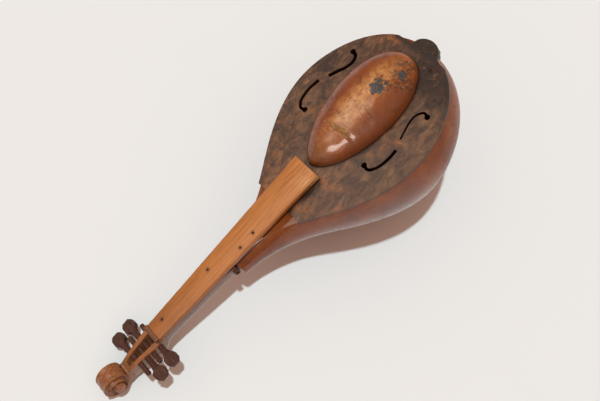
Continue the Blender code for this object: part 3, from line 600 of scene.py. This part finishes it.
def board_look():
    tones = (148, 82, 34), (190, 115, 53), (210, 136, 70)
    look, grain, pore, rough = wood_look("board_wood", tones, seed=1.0)
    look.stain((150, 86, 40), look.span(look.y, -0.2, -0.11, 1, 0), 0.6)
    taper = (BOARD_HALF_WIDTHS[1] - BOARD_HALF_WIDTHS[0]) / (BOARD_END_Y - BOARD_NUT_Y)
    half = look.math("MULTIPLY_ADD", look.y, taper, 0.01966)
    edge = look.span(look.math("DIVIDE", look.math("ABSOLUTE", look.x), half), 0.8, 1.0)
    look.stain((148, 86, 42), edge, 0.45)
    dents = look.span(look.noise(0.0055, 4, 0.6, 0.5, 17.0), 0.68, 0.76)
    look.stain((104, 60, 32), dents, 0.6)
    shine = look.span(look.noise((0.0012, 0.018, 0.004), 4, 0.6, 0.6, 5.0), 0.5, 0.62)
    look.stain((232, 190, 140), look.span(look.y, 0.02, 0.05), look.span(look.x, -0.004, 0.018), shine, 0.7)
    stains = look.most([look.blot(x, y, 0.0008, 0.0052) for x, y in BOARD_NAILS])
    look.stain((88, 50, 28), stains, 0.6)
    # Painted shade: the fingerboard's lower sides and underside darken, more toward the body end where it stands off
    # the plate.
    look.stain((92, 56, 34), look.span(look.z, 0.0058, 0.0035, 0, 0.8), look.span(look.y, -0.05, 0.0, 0.4, 1))
    wear, pits = look.noise(0.02, 3, 0.5, 0.3, 2.0), look.times(pore, -1)
    return look.done(rough, (grain, 0.00015), (pits, 0.00014), (wear, 0.0006))


def neck_look():
    tones = (84, 50, 32), (118, 76, 50), (146, 96, 62)
    look, grain, pore, rough = wood_look("neck_varnish", tones, coat=0.7, roughs=(0.26, 0.42), seed=5.0)
    bare = look.ramp(grain, (0.3, (140, 78, 38)), (0.7, (190, 118, 64)))
    look.stain(bare, look.span(look.y, -0.222, -0.218, 1, 0), look.span(look.z, -0.006, -0.001), 0.85)
    # Painted light: the pegbox floor between the cheeks is lightened to stand for light reaching into it.
    across = look.span(look.math("ABSOLUTE", look.x), 0.0088, 0.008)
    inside = look.times(across, look.span(look.y, -0.2205, -0.2215), look.span(look.z, -0.001, -0.004))
    look.stain((150, 94, 56), inside, 0.8)
    look.stain((60, 38, 28), look.span(look.noise(0.01, 5, 0.65, 0.5, 31.0), 0.56, 0.72), 0.5)
    wear, pits = look.noise(0.012, 4, 0.6, 0.3, 6.0), look.times(pore, -1)
    return look.done(rough, (grain, 0.00012), (wear, 0.0006), (pits, 0.0001))


def scroll_look():
    tones = (98, 54, 28), (150, 88, 50), (182, 116, 68)
    look, grain, _, rough = wood_look("scroll_varnish", tones, (0.0022, 0.016, 0.0022), coat=0.35, seed=9.0)
    # Painted shade: the scroll darkens in its hollows and gaps.
    look.stain((62, 36, 25), occlusion_shade(look, 0.005), 0.75)
    look.stain((78, 46, 32), look.span(look.noise(0.006, 5, 0.65, 0.5, 13.0), 0.56, 0.7), 0.45)
    return look.done(rough, (grain, 0.0003), (look.noise(0.008, 4, 0.6, 0.2, 3.0), 0.0006))


def peg_look():
    look = Look("peg_wood", Specular_IOR_Level=0.25, IOR=1.45)
    grain = look.noise((0.014, 0.0012, 0.0012), 5, 0.65, 0.5)
    blotch = look.noise(0.004, 5, 0.65, 0.5, 5.0)
    look.colour = look.ramp(grain, (0.3, (56, 31, 24)), (0.52, (84, 52, 41)), (0.74, (112, 75, 58)))
    look.stain((52, 30, 26), look.span(blotch, 0.52, 0.7, 0, 0.55))
    return look.done(look.span(blotch, 0.3, 0.7, 0.48, 0.7), (grain, 0.0002), (blotch, 0.0004))


def nut_look():
    tones = (80, 46, 26), (122, 74, 42), (150, 98, 58)
    look, grain, _, rough = wood_look("nut_wood", tones, (0.012, 0.0012, 0.002), seed=3.0)
    return look.done(rough, (grain, 0.0002))


def filler_look():
    look = Look("crumbled_filler", IOR=1.4)
    lumps = look.noise(0.0018, 6, 0.75, 0.4)
    look.colour = look.ramp(lumps, (0.32, (70, 56, 46)), (0.5, (140, 122, 106)), (0.7, (196, 180, 160)))
    return look.done(0.92, (lumps, 0.0009))


def iron_look():
    look = Look("old_iron", Metallic=0.65, IOR=1.5)
    rust = look.noise(0.0009, 5, 0.7, 0.3)
    look.colour = look.ramp(rust, (0.35, (34, 27, 24)), (0.7, (78, 54, 40)))
    return look.done(look.span(rust, 0.3, 0.7, 0.45, 0.8), (rust, 0.00015))


def plain_look():
    tones = (120, 92, 62), (164, 132, 94), (192, 162, 122)
    look, grain, *_ = wood_look("plain_wood", tones, coat=0.0, seed=7.0)
    return look.done(0.8, (grain, 0.0003))


# The body

def circle_rings(profile, sides, wobble=0.0):
    rings = []
    for y, radius in profile:
        z = axis_z(y)
        if radius < 1e-6:
            rings.append([(0, y, z)])
            continue
        ring = []
        for a in around(sides):
            p = (radius * sin(a), y, z + radius * cos(a))
            grow = wobble * (ripple(p, 0.07, 1.3) + 0.35 * ripple(p, 0.022, 4.0) - 1) * min(1, radius / 0.02)
            k = (radius + grow) / radius
            ring.append((p[0] * k, y, z + (p[2] - z) * k))
        rings.append(ring)
    return rings


def make_gourd(look):
    outer = loft("gourd", circle_rings(moved_profile(-SKIN), 144, 0.0004))
    inner_line = moved_profile(-GOURD_WALL)
    start = NECK_CUT_Y - 0.01
    inner_line = np.vstack([(start, inner_line[0, 1]), inner_line[inner_line[:, 0] > NECK_CUT_Y - 0.002]])
    join_shape(outer, loft("hollow", circle_rings(inner_line, 72)))
    join_shape(outer, box("top", (-0.15, -0.12, -PLATE_THICKNESS - GAP), (0.15, 0.3, 0.1)))
    join_shape(outer, rod("pin_hole", (PIN_X, 0.235, PIN_Z), (PIN_X, 0.28, PIN_Z), PIN_RADIUS + GAP))
    for x, y in BOARD_NAILS[:2]:
        nail_hole(outer, x, y)
    finish(outer, look, ["gourd_bowl"], 35)


def stroke(widths, centreline, count=40):
    line = smooth_line(centreline, count)
    half = np.linspace(*widths, count)[:, None] / 2
    along = unit(np.gradient(line, axis=0))
    side = np.column_stack([along[:, 1], -along[:, 0]])
    return np.vstack([line + half * side, (line - half * side)[::-1]])


def make_plate(look):
    loops = [plate_outline(), offset(dome_outline(), GAP)]
    plate = flat_solid("plate", loops, -PLATE_THICKNESS, 0)
    for widths, line in SLOTS:
        slot = flat_solid("slot", [stroke(widths, line)], -0.006, 0.002)
        x, y = line[-1]
        join_shape(slot, rod("eye", (x, y, -0.0063), (x, y, 0.0023), SLOT_EYE_RADIUS, 28), "UNION")
        join_shape(plate, slot)
    nail_hole(plate, *BELLY_NAIL)
    bevelled(plate, 0.0004)
    finish(plate, look, ["belly_plate"], 12)


def dome_height(scale):
    """Height of the outer skin where the foot's outline is scaled by a number from 0 to 1."""
    return DOME_HEIGHT * (1 - min(scale, 1.0) ** DOME_FULLNESS) ** (1 / DOME_FULLNESS)


def scar_y(x):
    return SCAR[1] + SCAR_SLOPE * (x - SCAR[0])


def make_dome(look):
    foot = dome_outline(64)
    centre = np.array(DOME_CENTRE)
    steps = np.linspace(0, pi / 2, 64)

    def ring(scale, z, relief):
        made = []
        for x, y in centre + (foot - centre) * scale:
            rise = 0.0
            if relief:
                p = (x, y, 0)
                rise = 0.0007 * ripple(p, 0.03, 2.0) + 0.0004 * ripple(p, 0.011, 5.0)
                rise += 0.0013 * exp(-(((x - 0.004) / 0.009) ** 2) - ((y - 0.09) / 0.008) ** 2)
                if abs(x - SCAR[0]) < 0.021:
                    far = y - scar_y(x)
                    rise += 0.0007 * exp(-((far + 0.0045) / 0.0018) ** 2)
                    rise -= 0.0009 * exp(-(far / 0.0022) ** 2)
                rise *= min(1, 5 * (1 - scale)) if scale < 1 else 0
            made.append((x, y, z + rise))
        return made

    def cap(shrink, height, relief):
        made = []
        for a in steps[:-1]:
            scale = cos(a) ** (2 / DOME_FULLNESS)
            made.append(ring(scale * shrink, height * sin(a) ** (2 / DOME_FULLNESS), relief))
        return made + [[(*centre, made[-1][0][2] if relief else height)]]

    shrink = 1 - DOME_WALL / DOME_HALF_WIDTH
    outer = [ring(1, -PLATE_THICKNESS, False)] + cap(1, DOME_HEIGHT, True)
    inner = [ring(shrink, -PLATE_THICKNESS, False)] + cap(shrink, DOME_HEIGHT - DOME_WALL, False)
    dome = loft("dome", inner[::-1] + outer)
    finish(dome, look, ["belly_dome"], 60)


def make_scar(look):
    """Torn fibre left on the dome where a bridge stood: short splinters lying across the dome."""
    rng = np.random.default_rng(7)
    bm = bmesh.new()
    for _ in range(34):
        x0 = SCAR[0] + rng.uniform(-0.012, 0.015)
        y0 = scar_y(x0) + rng.uniform(-0.003, 0.003)
        length, half = rng.uniform(0.005, 0.012), rng.uniform(0.00022, 0.0005)
        lean = rng.uniform(-0.12, 0.12)
        rows = []
        for t in np.linspace(-0.5, 0.5, 6):
            x, y = x0 + t * length, y0 + t * length * (SCAR_SLOPE + lean)
            far = np.hypot((x - DOME_CENTRE[0]) / DOME_HALF_WIDTH, (y - DOME_CENTRE[1]) / 0.1)
            z = dome_height(far) - 0.0002
            thick = half * (1 - (2 * t) ** 2) ** 0.5 + 0.00003
            ring = [(x, y + thick * cos(a), z + thick * sin(a) * 0.8) for a in around(6)]
            rows.append([bm.verts.new(p) for p in ring])
        for a, b in zip(rows, rows[1:]):
            for k in range(6):
                bm.faces.new((a[k], b[k], b[(k + 1) % 6], a[(k + 1) % 6]))
        bm.faces.new(rows[0][::-1])
        bm.faces.new(rows[-1])
    finish(solid("bridge_scar", bm), look, [], 60)


def make_tail(knob, pin):
    turn = np.linspace(0, pi, 40)
    half, length = EAR_HALF_WIDTH - 0.0016, EAR_LENGTH - 0.0013
    outline = [(EAR_X + half * cos(a), EAR_Y + length * sin(a)) for a in turn]
    lump = flat_solid("tail_knob_wood", [outline], -PLATE_THICKNESS - GAP - 0.01, -PLATE_THICKNESS - GAP)
    join_shape(lump, loft("seat", circle_rings(moved_profile(GAP), 96)))
    bevelled(lump, 0.0009, 3)
    finish(lump, knob, ["tail_knob"])

    out, r, shank = 0.0078, PIN_HEAD_RADIUS, PIN_RADIUS
    profile = [(0, out), (r * 0.4, out - 0.0001), (r * 0.7, out - 0.0006), (r * 0.93, out - 0.0018), (r, out - 0.0034)]
    profile += [(r * 0.97, 0.0016), (r * 0.8, 0.0011), (shank + 0.0004, 0.0006), (shank, 0.0002)]
    made = turned("end_pin_wood", profile + [(shank * 0.9, -0.019), (0, -0.0194)], 40)
    made.data.transform(Matrix.Translation((PIN_X, TAIL_Y + GAP, PIN_Z)) @ Matrix.Rotation(-pi / 2, 4, "X"))
    finish(made, pin, ["end_pin"], 50)


# The neck and what is on it

def section(y, half_width, top, depth, squareness, corners=25):
    """One ring across the neck: a flat top over a round belly, the boxier the higher its squareness."""
    power, middle = 2 / squareness, pegbox_lean(y)
    ring = []
    for a in np.linspace(0, pi, 2 * corners - 1):
        across = copysign(abs(cos(a)) ** power, cos(a))
        ring.append((middle + half_width * across, y, top - depth * sin(a) ** power))
    flat = [(middle + x, y, top) for x in np.linspace(-half_width, half_width, 14)[1:-1]]
    return ring + flat


def make_neck(look):
    under = board_at(BOARD_UNDER_Z, BOARD_NUT_Y) - GAP
    leave = board_at(BOARD_UNDER_Z, NECK_LEAVES_BOARD_Y) - GAP
    wide_nut = BOARD_HALF_WIDTHS[0] - 0.0002
    wide_leave = board_at(BOARD_HALF_WIDTHS, NECK_LEAVES_BOARD_Y) - 0.0004
    stations = np.array((  # y, half width, top, depth, squareness
        (THROAT_Y, 0.009, -0.0052, 0.0222, 4.5),
        (-0.2665, 0.0091, -0.0036, 0.0243, 4.5),
        (-0.26, 0.0098, -0.0018, 0.0266, 4.5),
        (-0.2499, 0.0109, -0.0004, 0.0285, 4.5),
        (-0.2352, 0.0126, 0.0007, 0.0302, 4.5),
        (-0.2247, 0.0139, under, 0.0305, 4.2),
        (-0.2184, 0.0141, under, 0.0286, 3.8),
        (-0.2132, wide_nut, under, 0.0247, 3.2),
        (-0.2058, wide_nut + 0.0001, under, 0.0223, 3.0),
        (-0.189, wide_nut + 0.0005, under + 0.0001, 0.0215, 3.0),
        (-0.135, wide_leave - 0.0003, leave - 0.0001, 0.0226, 3.0),
        (NECK_LEAVES_BOARD_Y, wide_leave, leave, 0.025, 3.0),
        (-0.105, 0.0153, 0.0004, 0.0242, 3.0),
        (-0.0977, 0.0151, -0.0023, 0.0222, 3.0),
        (NECK_END_Y, 0.0146, -0.0032, 0.0213, 3.0),
    ))
    ys = np.arange(THROAT_Y, NECK_END_Y + 1e-6, 0.0012)
    ys[-1] = NECK_END_Y
    columns = [blurred(np.interp(ys, stations[:, 0], column), 1.6) for column in stations.T[1:]]
    neck = loft("neck_wood", [section(*row) for row in zip(ys, *columns)])
    rings = []
    slot = ((SLOT_FROM_Y, 0.0042, 0.0068), (-0.2572, 0.0051, 0.011), (-0.2394, 0.0067, 0.0131))
    for y, w, d in (*slot, (SLOT_TO_Y, 0.0081, 0.0142)):
        x, low = pegbox_lean(y), PEG_AXIS_Z - d
        rings.append([(x - w, y, 0.02), (x + w, y, 0.02), (x + w, y, low), (x - w, y, low)])
    join_shape(neck, loft("slot", rings))
    for _, y, side, _ in PEGS:
        along = side * Vector((cos(PEG_LEAN), sin(PEG_LEAN), 0))
        ends = [Vector((0, y, PEG_AXIS_Z)) + x * along for x in (-0.042, 0.042)]
        join_shape(neck, rod("hole", *ends, [peg_radius(x) + PEG_PLAY for x in (-0.042, 0.042)]))
    for x, y in BOARD_NAILS[2:]:
        nail_hole(neck, x, y)
    join_shape(neck, rod("hole", (-0.03, DOWEL_Y, DOWEL_Z), (0.03, DOWEL_Y, DOWEL_Z), DOWEL_RADIUS + GAP))
    bevelled(neck, 0.0005, angle=45)
    turn, tenon = np.linspace(radians(50), radians(-230), 49), (TENON_FROM_Y, TENON_END_Y)
    rings = [[(TENON_RADIUS * cos(a), y, TENON_Z + TENON_RADIUS * sin(a)) for a in turn] for y in tenon]
    join_shape(neck, loft("tenon", rings), "UNION")
    finish(neck, look, ["neck"], 38)


def make_board(look):
    rings = []
    across = np.linspace(1, -1, 41)
    for y in np.linspace(BOARD_NUT_Y, BOARD_END_Y, 136):
        half, low, side = (board_at(v, y) for v in (BOARD_HALF_WIDTHS, BOARD_UNDER_Z, BOARD_SIDES))
        ring = [(half * x, y, low) for x in np.linspace(-1, 1, 21)]
        for x in across:
            fall = max(0, abs(x) - 0.9) / 0.1
            z = low + side + BOARD_CROWN * (1 - x * x) - 0.0011 * fall**2
            z += 0.00018 * ripple((x * half, y, 0), 0.016, 3.0)
            edge = half - 0.00025 * max(0, ripple((0, y, 2 * x), 0.01, 9.0)) * (abs(x) > 0.95)
            ring.append((edge * x, y, z))
        rings.append(ring)
    board = loft("board_wood", rings)
    for x, y in BOARD_NAILS:
        nail_hole(board, x, y, 20)
    bevelled(board, 0.0005, angle=50)
    finish(board, look, ["fingerboard"])


def make_nut(look):
    end, half, low = BOARD_NUT_Y - GAP, BOARD_HALF_WIDTHS[0], BOARD_UNDER_Z[0]
    high = low + BOARD_SIDES[0] + BOARD_CROWN + 0.0004
    nut = box("nut_wood", (-half, end - NUT_LENGTH, low), (half, end, high))
    for x in (-0.0082, -0.0027, 0.0027, 0.0082):
        groove = (x, end - 0.01, high + 0.0002), (x, end + 0.005, high + 0.0002)
        join_shape(nut, rod("groove", *groove, 0.0005, 12))
    bevelled(nut, 0.0007, 3)
    finish(nut, look, ["nut"])


def make_nail(look, node, place, profile, sides):
    nail = turned(node.replace("nail", "nail_head"), profile, sides)
    nail.data.transform(Matrix.Translation((*place, 0)))
    finish(nail, look, [node], 50)


def make_nails(look):
    r = NAIL_RADIUS
    for number, place in enumerate(BOARD_NAILS, 1):
        top = board_top(*place) - 0.0003
        profile = [(0, top), (r * 0.5, top - 0.00005), (r * 0.85, top - 0.0002), (r, top - 0.0006)]
        profile += [(0.0007, top - 0.0156), (0, top - 0.016)]
        make_nail(look, f"board_nail_{number}", place, profile, 20)
    profile = [(0, 0.0013), (0.0009, 0.0012), (0.0018, 0.0009), (0.0025, 0.0003), (r, 0.0002)]
    make_nail(look, "belly_nail", BELLY_NAIL, profile + [(0.0008, -0.006), (0, -0.0065)], 24)


def make_heel(dowel, filler):
    x0, x1 = -0.0163, 0.0194
    made = rod("dowel_wood", (x0, DOWEL_Y, DOWEL_Z), (x1, DOWEL_Y, DOWEL_Z), DOWEL_RADIUS, 40)
    dimple = (x1 - 0.0022, DOWEL_Y, DOWEL_Z), (x1 + 0.002, DOWEL_Y, DOWEL_Z)
    join_shape(made, rod("dimple", *dimple, 0.0017, 28))
    bevelled(made, 0.0005)
    finish(made, dowel, ["heel_dowel"])

    stations = np.array((  # y, half width, the neck's top
        (-0.1092, 0.0124, 0.0015), (-0.105, 0.0126, 0.0004), (-0.0977, 0.0128, -0.0023), (-0.0929, 0.0126, -0.003),
    ))
    rings = []
    for y in np.linspace(-0.1092, -0.0929, 22):
        half, low = (np.interp(y, stations[:, 0], stations[:, k]) for k in (1, 2))
        low += GAP * 1.5
        high = board_at(BOARD_UNDER_Z, y) - GAP
        across, up = np.linspace(-half, half, 24), np.linspace(low, high, 5)[1:-1]
        shaped = []
        ring = [(x, low) for x in across] + [(half, z) for z in up]
        for x, z in ring + [(x, high) for x in across[::-1]] + [(-half, z) for z in up[::-1]]:
            n = ripple((x, y, z), 0.0022, 2.0)
            out = 0.0011 * n if abs(x) > half * 0.97 else 0
            shaped.append((x + copysign(out, x), y + 0.0006 * n, z))
        rings.append(shaped)
    finish(loft("filler_lump", rings), filler, ["heel_filler"], 30)


def peg_radius(x):
    near, far = PEG_RADII
    return near + (far - near) * (x + PEG_TIP) / (PEG_TIP + PEG_COLLAR)


def make_pegs(look):
    """Friction pegs, each on the body of its own joint."""
    head_half = np.array((  # height on the head, half width there
        (0.0, 0.0034), (0.0046, 0.0083), (0.005, 0.0084), (0.0122, 0.0084),
        (0.0126, 0.0083), (0.0172, 0.0048), (0.0175, 0.0044),
    ))
    for name, y, side, short in PEGS:
        collar, head, tip = PEG_COLLAR - short, PEG_HEAD - short, -PEG_TIP
        profile = [(0, tip), (peg_radius(tip) * 0.72, tip + 0.00005), (peg_radius(tip) - 0.0002, tip + 0.0004)]
        profile += [(peg_radius(tip + 0.001), tip + 0.0012)]
        profile += [(peg_radius(z), z) for z in np.linspace(-0.026, collar - 0.0012, 12)]
        profile += [(0.0046, collar - 0.0004), (0.005, collar + 0.0001), (0.0051, collar + 0.0007)]
        profile += [(0.0048, head - 0.0003), (0.0038, head + 0.0003), (0.0036, head + 0.0016), (0, head + 0.003)]
        peg = turned(name + "_shank", profile, 36)
        rings = []
        for u in np.concatenate([(0.0, 0.0005), np.linspace(0.0012, 0.0166, 24), (0.0171, 0.0174)]):
            half = np.interp(u, *head_half.T)
            thick = 0.0043 * (1 - 0.16 * (u / 0.0174) ** 2) * (0.86 + 0.14 * min(1, u / 0.002))
            end = min(1, (0.0176 - u) / 0.001)
            thick *= 0.75 + 0.25 * end
            ring = []
            for a in around(48):
                c, s = cos(a), sin(a)
                v = half * copysign(abs(c) ** 0.16, c)
                t = thick * copysign(abs(s) ** 0.16, s)
                dish = 1 - 0.14 * max(0, 1 - (v / max(half, 1e-6)) ** 2) * exp(-(((u - 0.0088) / 0.005) ** 2))
                ring.append((v, t * dish, head + u))
            rings.append(ring)
        join_shape(peg, loft("blade", rings), "UNION")
        turn = Euler((pi / 2, 0, side * pi / 2 + PEG_LEAN)).to_matrix().to_4x4()
        peg.data.transform(Matrix.Translation((0, y, PEG_AXIS_Z)) @ turn)
        finish(peg, look, [name], 38, name)


def scroll_radius(turns):
    return SCROLL_RADIUS * SCROLL_SHRINK ** min(turns, SCROLL_TURNS)


def scroll_half_width(turns):
    marks = (0, 0.25, 0.5, 0.75, 1.0, 1.5, 2.0, SCROLL_TURNS)
    return float(np.interp(turns, marks, (0.0092, 0.0098, 0.0108, 0.0112, 0.012, 0.014, 0.0156, 0.017)))


def make_scroll(look):
    """A ribbon winds inwards on each side, its hollow rising to the edge of the next turn; a fluted rim joins both."""
    x0, (y0, z0) = pegbox_lean(THROAT_Y), SCROLL_CENTRE
    per_turn, across, flutes = 72, 12, 16
    total = int(SCROLL_TURNS * per_turn)
    bm = bmesh.new()

    def point(turns, radius, x):
        angle = -pi / 2 - 2 * pi * turns
        return (x0 + x, y0 + radius * cos(angle), z0 + radius * sin(angle))

    def ribbon(side):
        rows = []
        for i in range(total + 1):
            t = i / per_turn
            r0, r1 = scroll_radius(t), scroll_radius(t + 1)
            w0, w1 = scroll_half_width(t), scroll_half_width(t + 1)
            row = []
            for j in range(across + 1):
                s = j / across
                if s <= 0.12:
                    r, w = r0 - (r0 - r1) * s * 0.9, w0 + 0.0004 * sin(pi * s / 0.12)
                else:
                    q = (s - 0.12) / 0.88
                    r = r0 - (r0 - r1) * (0.108 + 0.892 * (1 - (1 - q) ** 1.7))
                    w = w0 - 0.0016 * sin(pi * min(1, q * 1.35))
                    w += (w1 - w0) * max(0, (q - 0.45) / 0.55) ** 1.6
                row.append(bm.verts.new(point(t, max(r, r1), side * w)))
            rows.append(row)
        for a, b in zip(rows, rows[1:]):
            for j in range(across):
                bm.faces.new((a[j], a[j + 1], b[j + 1], b[j]))
        # The eye: rings inside the last turn.
        last = [rows[i][-1] for i in range(total - per_turn, total)]
        r_eye, w_eye = scroll_radius(9), scroll_half_width(9)
        for k in range(1, 8):
            a = k / 8 * pi / 2
            radius, x = r_eye * cos(a), w_eye + 0.0017 * sin(a)
            ring = [bm.verts.new(point(i / per_turn, radius, side * x)) for i in range(total - per_turn, total)]
            for m in range(per_turn):
                n = (m + 1) % per_turn
                bm.faces.new((last[m], ring[m], ring[n], last[n]))
            last = ring
        tip = bm.verts.new(point(0, 0, side * (w_eye + 0.0017)))
        for m in range(per_turn):
            bm.faces.new((last[m], tip, last[(m + 1) % per_turn]))
        return rows

    sides = {side: ribbon(side) for side in (1, -1)}
    rim = []
    for i in range(per_turn + 1):
        t = i / per_turn
        r, w = scroll_radius(t), scroll_half_width(t)
        row = [sides[-1][i][0]]
        for k in range(1, flutes):
            x = -w + 2 * w * k / flutes
            groove = 0.0005 * sin(pi * abs(x) / w) ** 2
            row.append(bm.verts.new(point(t, r - groove, x)))
        row.append(sides[1][i][0])
        rim.append(row)
    for a, b in zip(rim, rim[1:]):
        for k in range(flutes):
            bm.faces.new((a[k], a[k + 1], b[k + 1], b[k]))
    bmesh.ops.remove_doubles(bm, verts=bm.verts, dist=1e-7)
    bmesh.ops.triangle_fill(bm, use_beauty=True, edges=[e for e in bm.edges if e.is_boundary])
    volute = solid("scroll_wood", bm)

    stations = (  # y, half width, top, underside
        (THROAT_Y - GAP, 0.009, -0.0054, -0.0272), (-0.274, 0.0092, -0.0046, -0.027),
        (-0.279, 0.0093, -0.008, -0.0264), (-0.285, 0.0092, -0.014, -0.0256), (-0.29, 0.009, -0.016, -0.0248),
    )
    rings = [section(y, w, top, top - low, 4.5, 13) for y, w, top, low in stations]
    join_shape(volute, loft("stem", rings), "UNION")
    finish(volute, look, ["scroll"], 35)


def make_floor():
    look = Look("paper", rest=False, Specular_IOR_Level=0.0)
    grain = look.noise(0.0012, 3, 0.6)
    look.colour = (238.6, 236.7, 234.8)
    look.stain((231.1, 228.5, 225.8), look.span(grain, 0.3, 0.7, 0, 0.04))
    bm = bmesh.new()
    bmesh.ops.create_grid(bm, x_segments=8, y_segments=8, size=30)
    floor = new_object("floor", bm)
    floor.data.materials.append(look.done(0.75, (grain, 0.00005)))


def make_light(name, kind, place, target, energy, colour, **size):
    lamp = bpy.data.lights.new(name, kind)
    lamp.energy, lamp.color = energy, colour
    for key, value in size.items():
        setattr(lamp, key, value)
    made = linked(name, lamp)
    made.location = place
    made.rotation_mode = "QUATERNION"
    made.rotation_quaternion = (Vector(target) - Vector(place)).to_track_quat("-Z", "Y")
    return made


def make_room():
    """Warm fill light from all round, weaker toward the horizon."""
    world = bpy.data.worlds.new("room")
    world.use_nodes = True
    nodes, links = world.node_tree.nodes, world.node_tree.links
    axes = nodes.new("ShaderNodeSeparateXYZ")
    links.new(nodes.new("ShaderNodeTexCoord").outputs["Generated"], axes.inputs[0])
    rise = nodes.new("ShaderNodeMapRange")
    for socket, value in zip(rise.inputs[1:], (0.0, 0.7, 0.2, 0.55)):
        socket.default_value = value
    links.new(axes.outputs["Z"], rise.inputs["Value"])
    links.new(rise.outputs["Result"], nodes["Background"].inputs["Strength"])
    nodes["Background"].inputs["Color"].default_value = (1.0, 0.67, 0.54, 1)
    bpy.context.scene.world = world


def make_camera():
    data = bpy.data.cameras.new("camera")
    data.lens, data.sensor_width = 59.341, 36
    data.dof.use_dof = False
    camera = linked("camera", data)
    camera.location, camera.rotation_euler = (0.313389, -0.221927, 1.21631), (0.340599, -0.00613, 0.870678)
    bpy.context.scene.camera = camera


def main():
    for other in [o for o in bpy.context.scene.objects if o.type in ("LIGHT", "CAMERA")]:
        bpy.data.objects.remove(other)
    lacquer, dark = gourd_look(), plate_look()
    pegs, plain, iron = peg_look(), plain_look(), iron_look()
    make_gourd(lacquer)
    make_plate(dark)
    make_dome(dome_look())
    make_scar(scar_look())
    make_tail(knob_look(), pegs)
    make_neck(neck_look())
    make_board(board_look())
    make_nut(nut_look())
    make_nails(iron)
    make_heel(pegs, filler_look())
    make_pegs(pegs)
    make_scroll(scroll_look())
    for name, look in (("neck_block", lacquer), ("dome_lining", plain), ("tail_block", plain)):
        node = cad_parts[name]
        for slot in node.material_slots:
            slot.material = look

    make_floor()
    make_camera()
    key = make_light("key", "SUN", (-0.022, 0.014, 1), (0, 0, 0), 2.14, (0.745, 0.94, 1.0), angle=radians(2.5))
    key.visible_glossy = False  # the broad lamps below stand for its reflection
    broad = (("sheen", (-1.15, -0.55, 1.75), 11, 1.1), ("window", (0.42, -1.3, 1.55), 21, 0.65))
    for name, place, energy, size in broad:
        lamp = make_light(name, "AREA", place, (0, 0.05, 0.12), energy, (1.0, 0.9, 0.8), size=size)
        lamp.visible_diffuse = False
    make_room()
    bpy.context.scene.view_settings.view_transform = "Standard"


main()
